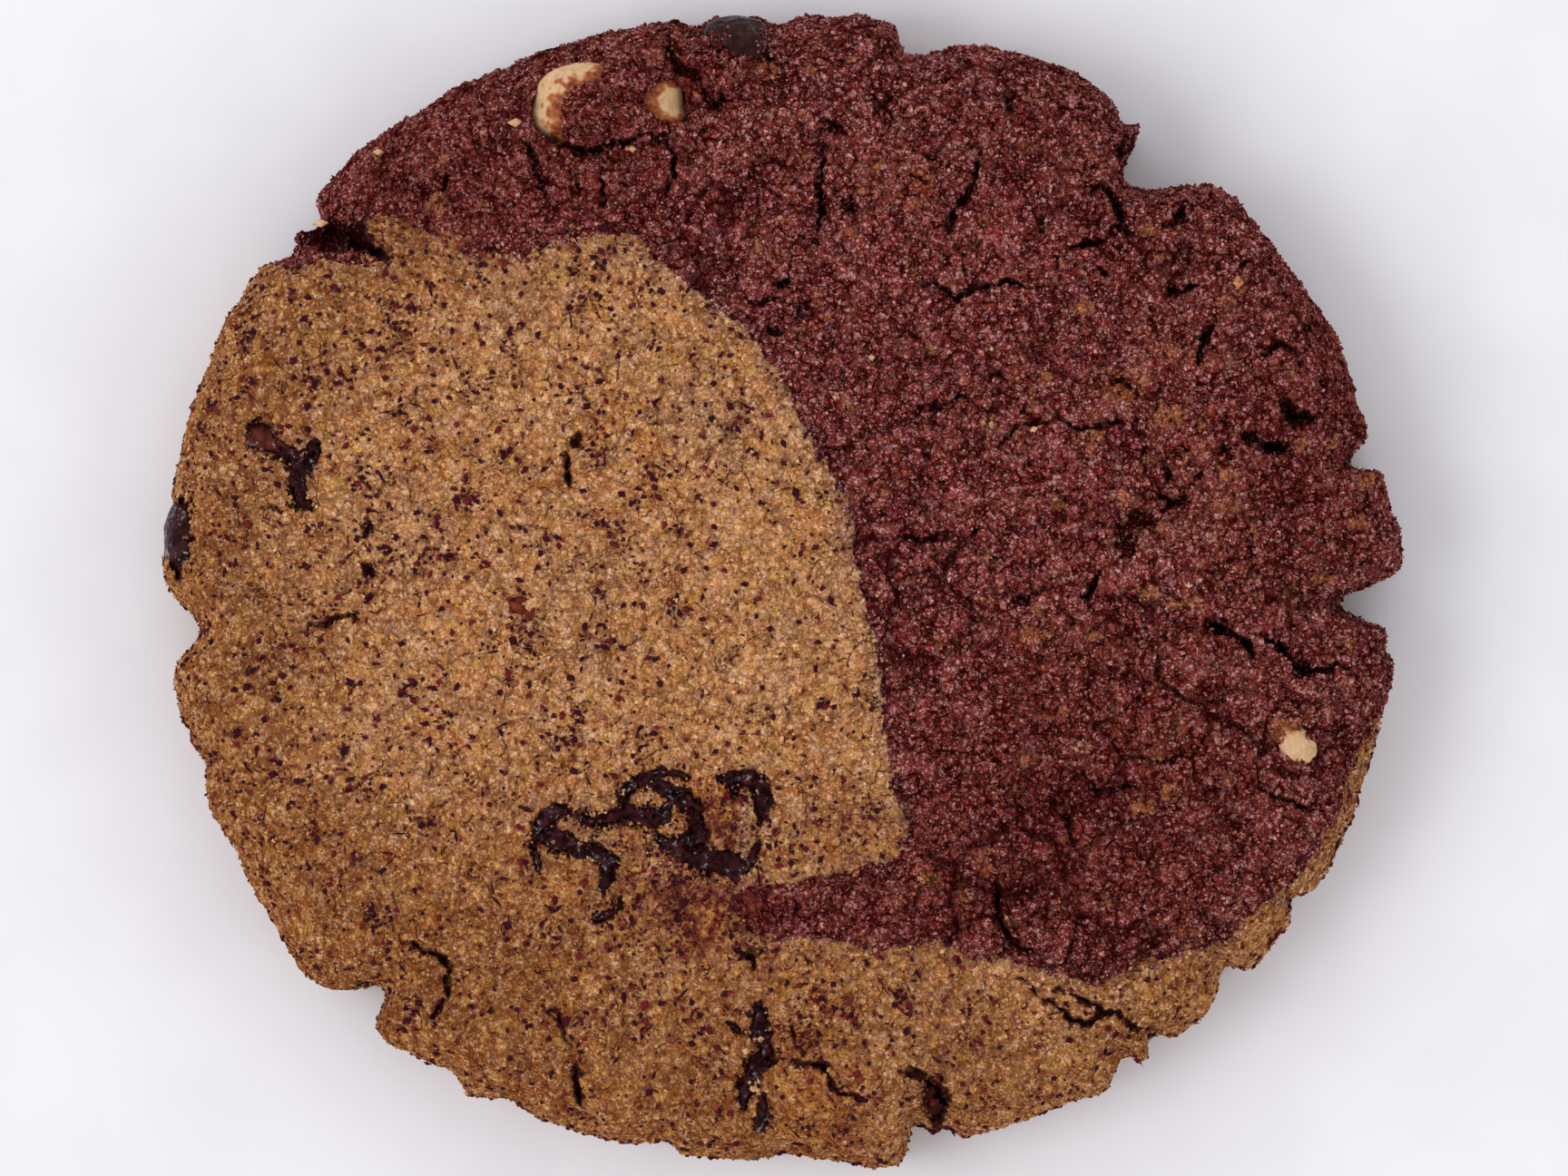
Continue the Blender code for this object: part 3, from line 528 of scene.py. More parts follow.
def point_normals(points, triangles):
    faces = face_normals(points, triangles)
    normals = np.zeros_like(points)
    for corner in range(3):
        for axis in range(3):
            normals[:, axis] += np.bincount(triangles[:, corner], faces[:, axis], len(points))
    return normals / np.maximum(np.linalg.norm(normals, axis=1), 1e-12)[:, None]


def smooth_line(points, spacing):
    """Catmull-Rom curve through a list of points, with a point about every spacing."""
    ends = [Vector(point) for point in (points[0], *points, points[-1])]
    line = []
    for a, b, c, d in zip(ends, ends[1:], ends[2:], ends[3:]):
        steps = max(1, round((c - b).length / spacing))
        for i in range(steps):
            t = i / steps
            bend = (2 * a - 5 * b + 4 * c - d) * t**2 + (3 * b - a - 3 * c + d) * t**3
            line.append(b + 0.5 * ((c - a) * t + bend))
    return [*line, ends[-1]]


def across(line):
    """For each point of a flat line, the unit vector square to it on its left side."""
    found = []
    for i in range(len(line)):
        along = line[min(i + 1, len(line) - 1)] - line[max(i - 1, 0)]
        found.append(Vector((-along.y, along.x)).normalized())
    return found


def line_distance(points, line):
    """How far each point lies from a flat line, and how far along the line its nearest place is,
    from 0 to 1."""
    nearest = np.full(len(points), np.inf)
    along = np.zeros(len(points))
    for i, (start, end) in enumerate(zip(line, line[1:])):
        start, run = np.array(start[:2]), np.array(end[:2]) - np.array(start[:2])
        share = np.clip((points[:, :2] - start) @ run / (run @ run), 0.0, 1.0)
        gap = np.linalg.norm(points[:, :2] - start - share[:, None] * run, axis=1)
        closer = gap < nearest
        nearest[closer] = gap[closer]
        along[closer] = (i + share[closer]) / (len(line) - 1)
    return nearest, along


def in_box(points, places, margin):
    """Which points lie inside the places' box, seen from above, or within a margin of it."""
    flat = points[:, :2]
    return np.all((flat > places.min(0) - margin) & (flat < places.max(0) + margin), axis=1)


def turned_oval(flat, column, row, long, wide, turn):
    """How far each flat point lies from a turned oval's middle, with 1 on its edge. The oval's place and
    half sizes are in pixels."""
    along = (flat - plan(column, row)) @ turned_by(turn)
    return np.hypot(*(along / (long * PIXEL, wide * PIXEL)).T)


def crack_depths(points, pits=PITS):
    """How deep the open cracks and pits are at each point."""
    depths = np.zeros(len(points))
    wander, size = CRACK_RAGGED
    ragged = wander * waves(points, size)
    bent = points[:, :2].copy()
    for reach, size in CRACK_BENDS:
        bent += reach * columns(waves(points + 50, size), waves(points + 60, size))
    narrowed = 0.5 + 0.8 * smooth_steps(waves(points + 70, 1.2), -0.3, 0.3)
    for width, depth, places in CRACKS:
        line = smooth_line([plan(*place) for place in places], CRACK_SPACING)
        close = in_box(points, np.array([point[:] for point in line]), width)
        gap, along = line_distance(bent[close], line)
        swell = np.sin(math.pi * (0.06 + 0.88 * along)) ** 0.7
        half = CRACK_SHARE * width * swell * narrowed[close] + 0.06
        share = np.clip(1 - (gap + ragged[close]) / half, 0.0, 1.0)
        depths[close] = np.maximum(depths[close], depth * swell * share**CRACK_SHARPNESS)
    uneven = 2.5 * ragged + 0.45 * waves(points + 80, 1.1)
    for column, row, long, wide, turn, depth in pits:
        away = turned_oval(bent, column, row, long, wide, turn)
        share = np.clip(1.15 - away - uneven / (wide * PIXEL), 0.0, 1.0)
        depths = np.maximum(depths, depth * share**CRACK_SHARPNESS)
    return depths


def crackle_depths(points):
    """How deep the web of small cracks is at each point, between plates of dough."""
    warp, size = CRACKLE_WARP
    warped = points + warp * columns(waves(points, size), waves(points + 40, size), 0.0)
    depths = np.zeros(len(points))
    for mesh, width, depth, whole in CRACKLE:
        near = np.array([noise.voronoi(point)[0][:2] for point in (warped / mesh).tolist()])
        edge = (near[:, 1] - near[:, 0]) * mesh * 0.5
        open_here = smooth_steps(waves(points + 90, 2.2 * mesh), whole - 0.15, whole + 0.15)
        depths = np.maximum(depths, depth * open_here * np.clip(1.6 - edge / width, 0.0, 1.0))
    size, rare, depth = POCKS
    hollow = waves(points + 130, size) + 0.6 * waves(points + 140, 0.45 * size)
    return np.maximum(depths, depth * smooth_steps(hollow, rare, rare + 0.3))


def surface_depths(points):
    """How deep the open cracks, and the web of small ones, are at each point."""
    return crack_depths(points), crackle_depths(points) * (1 - HAZELNUT_WHOLE * inside_hazelnut(points))


def roughened(points, triangles, inset, cracks, crackle):
    """The surface's points moved by its lumps, its grain and its cracks, never outwards on the whole."""
    rng = np.random.default_rng(SEED)
    normals = point_normals(points, triangles)
    lift = sum(height * waves(points, size) for height, size in LUMPS) - SUNK
    lift += SANDY * rng.uniform(-1, 1, len(points))
    height, size = RIM_LUMPS
    crumbly = smooth_steps(-inset, -RIM_BAND, 0.0) * smooth_steps(points[:, 2], 0.0, RIM_HEIGHT)
    lift -= height * np.abs(waves(points + 20, size)) * crumbly
    foot = smooth_steps(points[:, 2], 0.0, FOOT)
    facing_up = smooth_steps(normals[:, 2], 0.1, 0.6)
    depths = cracks * facing_up + crackle * foot
    moved = points + normals * (lift * foot)[:, None]
    depths = np.maximum(depths, chip_hollows(points))
    moved[:, 2] += dough_rise(points) * facing_up - np.minimum(depths, 0.6 * points[:, 2])
    return moved


def object_from(name, points, triangles, finish):
    """A smooth-shaded scene object from points in plan millimetres and triangles."""
    mesh = bpy.data.meshes.new(name)
    mesh.from_pydata(((points + MIDDLE_SHIFT) * MM).tolist(), [], triangles.tolist())
    mesh.shade_smooth()
    obj = bpy.data.objects.new(name, mesh)
    bpy.context.scene.collection.objects.link(obj)
    if finish:
        mesh.materials.append(finish)
    return obj


def plan_points(obj):
    """A made object's points in plan millimetres."""
    flat = np.empty(3 * len(obj.data.vertices))
    obj.data.vertices.foreach_get("co", flat)
    return flat.reshape(-1, 3) / MM - MIDDLE_SHIFT


def hazelnut_block():
    """The block that holds the hazelnut dough; one wall is the ragged seam."""
    line = smooth_line(SEAM, SEAM_SPACING)
    flat = np.array([(point.x, point.y, SEAM_LEVEL) for point in line])
    wander = sum(reach * waves(flat, size) for reach, size in SEAM_RAGGED)
    loops = []
    for level in BLOCK_LEVELS:
        outline = []
        for point, left, aside in zip(line, across(line), wander):
            share = min(1.0, max(0.0, (point.x - UNDERLAP_FROM) / UNDERLAP_GROWS))
            outline.append(point + left * aside + UNDERLAP * share * (SEAM_LEVEL - level))
        loops.append([(point[0], point[1], level) for point in (*outline, *BLOCK_CORNERS)])
    count = len(loops[0])
    bm = bmesh.new()
    verts = [bm.verts.new(Vector(corner) * MM) for loop in loops for corner in loop]
    for i in range(count):
        j = (i + 1) % count
        bm.faces.new((verts[i], verts[j], verts[count + j]))
        bm.faces.new((verts[i], verts[count + j], verts[count + i]))
    bm.faces.new(verts[:count])
    bm.faces.new(verts[count:])
    bmesh.ops.triangulate(bm, faces=bm.faces)
    bmesh.ops.recalc_face_normals(bm, faces=bm.faces)
    mesh = bpy.data.meshes.new("hazelnut_block")
    bm.to_mesh(mesh)
    bm.free()
    block = bpy.data.objects.new("hazelnut_block", mesh)
    block.location = MIDDLE_SHIFT * MM
    bpy.context.scene.collection.objects.link(block)
    return block


def cut(obj, cutter, operation):
    modifier = obj.modifiers.new("cut", "BOOLEAN")
    modifier.operation = operation
    modifier.solver = "MANIFOLD"
    modifier.object = cutter
    mesh = bpy.data.meshes.new_from_object(obj.evaluated_get(bpy.context.evaluated_depsgraph_get()))
    obj.modifiers.clear()
    obj.data = mesh


def oval_share(points, column, row, long, wide, square=2.0):
    """How far each point lies from an oval's middle, with 1 on its edge. Its place and half sizes are
    in pixels."""
    from_middle = np.abs(points[:, :2] - np.array(plan(column, row))) / (long * PIXEL, wide * PIXEL)
    return np.sum(from_middle**square, axis=1) ** (1 / square)


def nut_top(points):
    """How far inside the nut half's outline each point lies, and the height of the nut's back there."""
    across_nut = (points[:, :2] - NUT_HALF["at"][:2]) @ turned_by(NUT_HALF["turn"])
    across_nut = across_nut / NUT_HALF["half"][:2]
    share, size = PEBBLE_WAVE
    reach = np.maximum(np.sum(np.abs(across_nut) ** NUT_SQUARE, axis=1) ** (1 / NUT_SQUARE), 0.001)
    edge = columns(*(across_nut / reach[:, None]).T, NUT_HALF["at"][0])
    inside = 1 - reach / (1 + share * waves(edge, size))
    up = np.sqrt(np.clip(inside * (2 - inside), 0, 1))
    uneven = 1 + share * waves(columns(across_nut[:, 0], across_nut[:, 1], up + NUT_HALF["at"][0]), size)
    return inside, NUT_HALF["at"][2] + NUT_HALF["half"][2] * up * uneven


def beside_film(points):
    """How far each point lies inside the parts of the nut half beside the film of dough, in mm, negative
    under it."""
    ragged = 0.22 * waves(points, 1.1) + 0.1 * waves(points, 0.45)
    crescent = (oval_share(points, *NUT_COVER, NUT_COVER_SQUARE) - 1) * NUT_COVER[3] * PIXEL + ragged
    crescent = np.minimum(crescent, plan(NUT_COVER_ENDS, 0)[0] - points[:, 0] + 2 * ragged)
    patch = (1 - oval_share(points, *NUT_PATCH)) * NUT_PATCH[2] * PIXEL + ragged
    return np.maximum(crescent, patch)


def nut_bareness(points):
    """How far each point lies inside the bare parts of the nut half, in mm, negative outside them."""
    outline = (1 - oval_share(points, *NUT_OUTLINE, NUT_SQUARE)) * NUT_OUTLINE[3] * PIXEL + 0.04
    outline = outline + 0.15 * waves(points, 0.6) + 0.08 * waves(points, 0.3)
    return np.minimum(beside_film(points), outline)


def melt_cover(points, streaks):
    """How far each point lies inside streaks of melted chocolate, from 0 at their edge to 1 along their
    middle, negative outside them."""
    cover = np.full(len(points), -1.0)
    ragged = sum(reach * waves(points, size) for reach, size in MELT_RAGGED)
    for streak in streaks:
        places = [(*plan(column, row), half * PIXEL) for column, row, half in streak]
        line = smooth_line(places, 0.5)
        halves = np.array([place[2] for place in line])
        gap, along = line_distance(points, line)
        half = np.interp(along * (len(line) - 1), np.arange(len(line)), halves)
        cover = np.maximum(cover, 1 - (gap + ragged * np.minimum(1.0, half)) / half)
    return cover


def streak_places(streaks):
    return np.array([plan(column, row)[:] for streak in streaks for column, row, _ in streak])


def all_melt(points):
    """How far each point lies inside any melted chocolate."""
    cover = np.full(len(points), -1.0)
    for streaks in (LEFT_MELT, SWIRL_MELT, LOWER_MELT):
        near = in_box(points, streak_places(streaks), MELT_NEAR)
        cover[near] = melt_cover(points[near], streaks)
    return cover


def dough_rise(points):
    """How far the dough stands over its plain surface: over the covered nut, and down in the hollows
    that hold the bare nut and melted chocolate."""
    rise = -MELT_BASIN * smooth_steps(all_melt(points), -0.05, 0.35)
    rise += BIT_RISE * bit_fields(points, NUT_BITS)[0]
    near = nut_top(points)[0] > -0.5
    inside, back = nut_top(points[near])
    film = back + NUT_FILM - (dome(points[near, 0], points[near, 1]) - SUNK)
    bare = smooth_steps(nut_bareness(points[near]), -0.05, 0.15)
    over_nut = smooth_steps(inside, -0.06, 0.10) * (1 - bare)
    drawn_down = NUT_BARE_DEPTH * bare * smooth_steps(inside, -0.06, 0.02)
    rise[near] += over_nut * np.maximum(film, 0) - drawn_down
    return rise


def chip_hollows(points):
    """How far the dough draws down where a chip or chunk shows at the rim."""
    hollow = np.zeros(len(points))
    for chip, depth, bare in ((RIM_CHIP, 2.5, RIM_CHIP_BARE), (TOP_RIM_CHUNK, 1.6, TOP_RIM_CHUNK_BARE)):
        near = np.hypot(*(points[:, :2] - chip["at"][:2]).T) < 2 * max(chip["half"])
        across_chip = (points[near, :2] - chip["at"][:2]) @ turned_by(chip["turn"])
        away = np.hypot(*(across_chip / chip["half"][:2]).T)
        ragged = 0.2 * waves(points[near], 0.8)
        shown = np.minimum(1 - away + ragged, bit_fields(points[near], [bare])[0] - 0.5)
        hollow[near] = np.maximum(hollow[near], depth * smooth_steps(shown, -0.05, 0.12))
    return hollow


def inside_hazelnut(points):
    """Which points lie on the hazelnut dough's side of the seam."""
    outline = np.array([*[point[:] for point in smooth_line(SEAM, SEAM_SPACING)], *BLOCK_CORNERS])
    share = np.clip((points[:, 0] - UNDERLAP_FROM) / UNDERLAP_GROWS, 0, 1) * (SEAM_LEVEL - points[:, 2])
    x, y = points[:, 0] - UNDERLAP[0] * share, points[:, 1] - UNDERLAP[1] * share
    inside = np.zeros(len(points), bool)
    for (ax, ay), (bx, by) in zip(outline, np.roll(outline, -1, axis=0)):
        crosses = (ay > y) != (by > y)
        inside ^= crosses & (x < ax + (y - ay) * (bx - ax) / (by - ay if by != ay else 1.0))
    return inside


def bit_fields(points, rows):
    """How strongly nut bits under the dough show at each point, from 0 to 1, and their tone there."""
    bent = points[:, :2] + 0.6 * columns(waves(points + 25, 0.9), waves(points + 45, 0.9))
    ragged = 0.5 * waves(points + 35, 0.35)
    strength, tones = np.zeros(len(points)), np.zeros(len(points))
    for column, row, long, wide, turn, tone in rows:
        away = turned_oval(bent, column, row, long, wide, turn)
        share = smooth_steps(1.1 - away + ragged, 0.05, 0.35)
        tones = np.where(share > strength, tone, tones)
        strength = np.maximum(strength, share)
    return strength, tones


def spot_strength(points, spots):
    """How strongly soft-edged spots colour each point, from 0 to 1."""
    warped = points + 1.6 * columns(waves(points, 2.6), waves(points + 30, 2.6), 0.0)
    strength = np.zeros(len(points))
    for column, row, radius, amount in spots:
        away = oval_share(warped, column, row, radius, radius)
        strength = np.maximum(strength, amount * np.exp(-(away**4)))
    return strength


def colour_fields(points):
    """What varies the colour of the dough at each point."""
    nut, tone = bit_fields(points, NUT_BITS)
    stray, stray_tone = bit_fields(points, STRAYS)
    tone = np.where(nut > STRAY_STRENGTH * stray, tone, stray_tone)
    nut = np.maximum(nut, STRAY_STRENGTH * stray)
    to_seam = line_distance(points, smooth_line(SEAM, SEAM_SPACING))[0] + 0.4 * waves(points + 110, 1.3)
    greyed = SEAM_GREY * (1 - smooth_steps(to_seam, 0.1, 1.3))
    return {
        "stained": spot_strength(points, STAINS),
        "orange": spot_strength(points, ORANGE_PATCHES),
        "grey": np.maximum(spot_strength(points, GREY_PATCHES), greyed),
        "browned_and_shaded": spot_strength(points, BROWNED_AND_SHADED),
        "nut": nut,
        "tone": tone,
    }


def set_fields(obj, fields):
    """Keeps numbers on an object's points, for its finish to use."""
    for name, values in fields.items():
        kept = obj.data.attributes.new(name, "FLOAT", "POINT")
        kept.data.foreach_set("value", values.astype(np.float32))


def scattered(points, triangles, weights, count, rng):
    """Places spread over a surface, more of them where its weight is larger, and its normals there."""
    normals = face_normals(points, triangles)
    sizes = np.linalg.norm(normals, axis=1)
    sums = np.cumsum(sizes * weights)
    chosen = np.searchsorted(sums, (np.arange(count) + rng.random(count)) / count * sums[-1] * 0.999999)
    first, second = rng.random((2, count, 1))
    folded = first + second > 1
    first, second = np.where(folded, 1 - first, first), np.where(folded, 1 - second, second)
    a, b, c = np.moveaxis(points[triangles[chosen]], 1, 0)
    return a + first * (b - a) + second * (c - a), normals[chosen] / sizes[chosen, None]


def random_turns(count, rng):
    """Rotation matrices spread evenly over all directions."""
    four = rng.normal(size=(4, count))
    w, x, y, z = four / np.linalg.norm(four, axis=0)
    rows = [
        (1 - 2 * (y * y + z * z), 2 * (x * y - z * w), 2 * (x * z + y * w)),
        (2 * (x * y + z * w), 1 - 2 * (x * x + z * z), 2 * (y * z - x * w)),
        (2 * (x * z - y * w), 2 * (y * z + x * w), 1 - 2 * (x * x + y * y)),
    ]
    return np.moveaxis(np.array(rows), 2, 0)


def turns_on(normals, rng):
    """Rotation matrices that lay a piece flat on a surface, turned at random about its normal."""
    aside = np.cross(normals, rng.normal(size=normals.shape))
    aside /= np.linalg.norm(aside, axis=1)[:, None]
    return np.stack((aside, np.cross(normals, aside), normals), axis=2)


def rough_stones(name, places, halves, turns, rng, finish, uneven=0.25):
    """One mesh of small eight-faced stones, each with its own place, half sizes and rotation."""
    tips = np.array([(1, 0, 0), (0, 1, 0), (-1, 0, 0), (0, -1, 0), (0, 0, 1), (0, 0, -1)], float)
    sides = [(i, (i + 1) % 4) for i in range(4)]
    faces = np.array([(i, j, 4) for i, j in sides] + [(j, i, 5) for i, j in sides])
    count = len(places)
    corners = tips * (1 + uneven * rng.uniform(-1, 1, (count, 6, 1)))
    corners = corners + 0.4 * uneven * rng.normal(size=(count, 6, 3))
    corners = np.einsum("nij,nkj->nki", turns, corners * halves[:, None, :]) + places[:, None, :]
    triangles = faces + 6 * np.arange(count)[:, None, None]
    stones = object_from(name, corners.reshape(-1, 3), triangles.reshape(-1, 3), finish)
    stones.data.shade_flat()
    return stones


def each_corner(values):
    """Values of stones, given to each stone's six corners."""
    return np.repeat(values, 6)


def dough_stones(name, places, halves, rng, finish):
    """Stones turned at random that carry the dough's colours where they lie, and each its own tint."""
    piece = rough_stones(name, places, halves, random_turns(len(places), rng), rng, finish)
    fields = {field: each_corner(values) for field, values in colour_fields(places).items()}
    set_fields(piece, {**fields, "tint": each_corner(rng.random(len(places)))})
    return piece


def loose_halves(count, smallest, largest, rng):
    """Half sizes of loose crumbs, most of them small."""
    radius = smallest + (largest - smallest) * rng.random(count) ** 2
    return radius[:, None] * rng.uniform(0.6, 1.2, (count, 3))


def upward(points, triangles):
    """How far each triangle faces up, from -1 to 1."""
    facing = face_normals(points, triangles)
    return facing[:, 2] / np.linalg.norm(facing, axis=1)


def crumbs(name, surface, dough, numbers, seed, finish):
    """Grains of a dough all over its top and side, beside bare nut, melted chocolate and chips."""
    points, triangles = surface
    count, smallest, largest, proud = numbers
    rng = np.random.default_rng(seed)
    middles = points[triangles].mean(axis=1)
    weights = dough * (upward(points, triangles) > -0.3) * smooth_steps(middles[:, 2], 0.3, 1.5)
    on_dough = (nut_top(middles)[0] < 0) | (nut_bareness(middles) < 0)
    weights = weights * (all_melt(middles) < 0.02) * on_dough * (chip_hollows(middles) < 0.5)
    places, normals = scattered(points, triangles, weights, count, rng)
    radius = smallest + (largest - smallest) * rng.random(count) ** 1.8
    halves = radius[:, None] * rng.uniform(0.65, 1.15, (count, 3))
    places = places + normals * (radius * rng.uniform(*proud, count))[:, None]
    piece = dough_stones(name, places, halves, rng, finish)
    # Crack depth under each crumb, for its painted shade
    set_fields(piece, {"depth": each_corner(np.minimum(1.0, crack_depths(places) / DEEPEST))})
    return piece


def skin_flecks(surface, dough, finish):
    """Dark angular flecks of nut skin that lie flat in the hazelnut dough, in loose clusters."""
    points, triangles = surface
    count, smallest, largest = SKIN_FLECKS
    rng = np.random.default_rng(SEED + 3)
    middles = points[triangles].mean(axis=1)
    off_foot = dough * smooth_steps(middles[:, 2], 0.6, 2.0)
    loose = 0.35 + np.exp(4.5 * waves(middles, 3.1) - 1) + 0.8 * np.exp(5 * waves(middles, 1.1) - 1)
    weights = off_foot * loose * (all_melt(middles) < -0.1)
    for column, row, radius in FLECK_CLUSTERS:
        away = oval_share(middles, column, row, radius, radius)
        weights = weights + off_foot * 14 * np.exp(-1.5 * away**2)
    places, normals = scattered(points, triangles, weights, count, rng)
    radius = smallest + (largest - smallest) * rng.random(count) ** 2.3
    slim = rng.random(count) < 0.15
    long = np.where(slim, rng.uniform(1.5, 2.6, count), rng.uniform(0.8, 1.3, count))
    wide = np.where(slim, rng.uniform(0.15, 0.35, count), rng.uniform(0.4, 0.95, count))
    halves = radius[:, None] * columns(long, wide, rng.uniform(0.35, 0.6, count))
    places = places + normals * (0.05 + 0.15 * radius)[:, None]
    piece = rough_stones("nut_skin_flecks", places, halves, turns_on(normals, rng), rng, finish, 0.3)
    set_fields(piece, {"tint": each_corner(rng.random(count))})
    return piece


def melt_top(points, cover):
    """Height of the back of melted chocolate at each point."""
    flat = columns(points[:, 0], points[:, 1], 5.0)
    rise = smooth_steps(cover, -0.15, 0.45)
    folds = sum(height * (0.12 - np.abs(waves(flat, size))) for height, size in MELT_FOLDS)
    return dome(*flat.T[:2]) - SUNK - MELT_DIP + (MELT_DIP + MELT_PROUD + folds) * rise


def strewn(name, surface, numbers, seed, finish):
    """Loose crumbs strewn on the top, along the edges of the melted chocolate and a few on it, and in
    the deepest hollows."""
    points, triangles = surface
    count, smallest, largest, in_hollows, on_melt = numbers
    rng = np.random.default_rng(seed)
    middles = points[triangles].mean(axis=1)
    cover = all_melt(middles)
    fewer_on_it = 1 - (1 - on_melt) * smooth_steps(cover, 0.1, 0.5)
    edge = smooth_steps(cover, -0.75, -0.1) * (cover > -0.99) * fewer_on_it
    clumps = np.exp(3 * waves(middles + seed, 1.3))
    hollows = smooth_steps(crack_depths(middles), 0.4, 0.9)
    weights = (edge * clumps + in_hollows * hollows) * (middles[:, 2] > RIM_HEIGHT)
    places, _ = scattered(points, triangles, weights, count, rng)
    halves = loose_halves(count, smallest, largest, rng)
    cover = all_melt(places)
    places[:, 2] = np.where(cover > -0.3, np.maximum(places[:, 2], melt_top(places, cover)), places[:, 2])
    return dough_stones(name, places, halves, rng, finish)


def icosphere(subdivisions):
    """Points and triangles of a unit sphere of even triangles."""
    bm = bmesh.new()
    bmesh.ops.create_icosphere(bm, subdivisions=subdivisions, radius=1.0)
    points = np.array([vert.co[:] for vert in bm.verts])
    triangles = np.array([[vert.index for vert in face.verts] for face in bm.faces])
    bm.free()
    return points, triangles


def nut_bits(name, rows, seed, finish):
    """Bare bits set in the dough's top, with a tone for each: a crumbly bit of nut is made of small
    grains, and a very small or crisp bit is one shard."""
    rng = np.random.default_rng(seed)
    places, halves, turns, tones = [], [], [], []
    for column, row, long, wide, turn, tone in rows:
        about_z = turned_by(turn, 3)
        if tone > 1 or long < SMALL_BIT:
            along = np.zeros((1, 2))
            halves.append([(long * PIXEL, wide * PIXEL, min(0.35, 0.7 * wide * PIXEL))])
            turns.append(about_z[None])
        else:
            count = max(2, round(math.pi * long * wide * PIXEL**2 / BIT_GRAINS))
            reach, angle = np.sqrt(rng.random(count)), rng.uniform(0, 2 * math.pi, count)
            along = columns(reach * np.cos(angle) * long, reach * np.sin(angle) * wide) * PIXEL
            halves.append(min(0.2, 0.75 * min(long, wide) * PIXEL) * rng.uniform(0.7, 1.4, (count, 3)))
            turns.append(random_turns(count, rng))
        places.append(along @ about_z[:2, :2].T + plan(column, row))
        tones.append(tone + 0.15 * rng.normal(size=len(along)))
    at, halves = np.vstack(places), np.vstack(halves)
    heights = dome(at[:, 0], at[:, 1]) - SUNK + halves[:, 2] * rng.uniform(-0.2, 0.35, len(at))
    places = columns(at[:, 0], at[:, 1], heights)
    piece = rough_stones(name, places, halves, np.vstack(turns), rng, finish)
    piece.data.shade_smooth()
    set_fields(piece, {"tone": each_corner(np.concatenate(tones))})
    return piece


def stray_bits():
    """Seeded small nut bits between those that can be placed, all in the chocolate dough."""
    rng = np.random.default_rng(SEED + 5)
    rows = []
    while len(rows) < STRAY_BITS:
        angle, reach = rng.uniform(0, 2 * math.pi), STRAY_REACH * math.sqrt(rng.random())
        at = np.array([(reach * math.cos(angle), reach * math.sin(angle), 10.0)])
        if inside_hazelnut(at)[0] or nut_top(at)[0][0] > -0.2:
            continue
        long = 2.5 + 6.5 * rng.random() ** 2
        column, row = PICTURE_MIDDLE[0] + at[0, 0] / PIXEL, PICTURE_MIDDLE[1] - at[0, 1] / PIXEL
        wide = long * rng.uniform(0.5, 1)
        rows.append((column, row, long, wide, rng.uniform(0, 180), rng.uniform(0.35, 1.15)))
    return rows


STRAYS = stray_bits()


def pebble(shape, subdivisions=6, folds=0.02, square=2.0):
    """Points and triangles of an uneven rounded piece, such as a nut half or a chocolate chip. Seen from
    above it is an oval, or squarer where square is over 2."""
    ball, faces = icosphere(subdivisions)
    flat = np.abs(ball[:, :2]) + 1e-6
    ball[:, :2] *= (np.hypot(*flat.T) / np.sum(flat**square, axis=1) ** (1 / square))[:, None]
    share, size = PEBBLE_WAVE
    uneven = 1 + share * waves(ball + (0, 0, shape["at"][0]), size)
    uneven += folds * (waves(ball + 5, 0.3) + 0.5 * waves(ball + 9, 0.12))
    return (ball * uneven[:, None] * shape["half"]) @ turned_by(shape["turn"], 3).T + shape["at"], faces


def crumbs_on(name, surface, numbers, seed, finish):
    """Crumbs of dough in ragged clusters on the upper side of a chip."""
    points, triangles = surface
    count, smallest, largest = numbers
    rng = np.random.default_rng(seed)
    middles = points[triangles].mean(axis=1)
    clusters = smooth_steps(waves(middles, 1.8), 0.0, 0.25)
    weights = smooth_steps(upward(points, triangles), 0.0, 0.4) * clusters
    places, _ = scattered(points, triangles, weights, count, rng)
    return dough_stones(name, places, loose_halves(count, smallest, largest, rng), rng, finish)


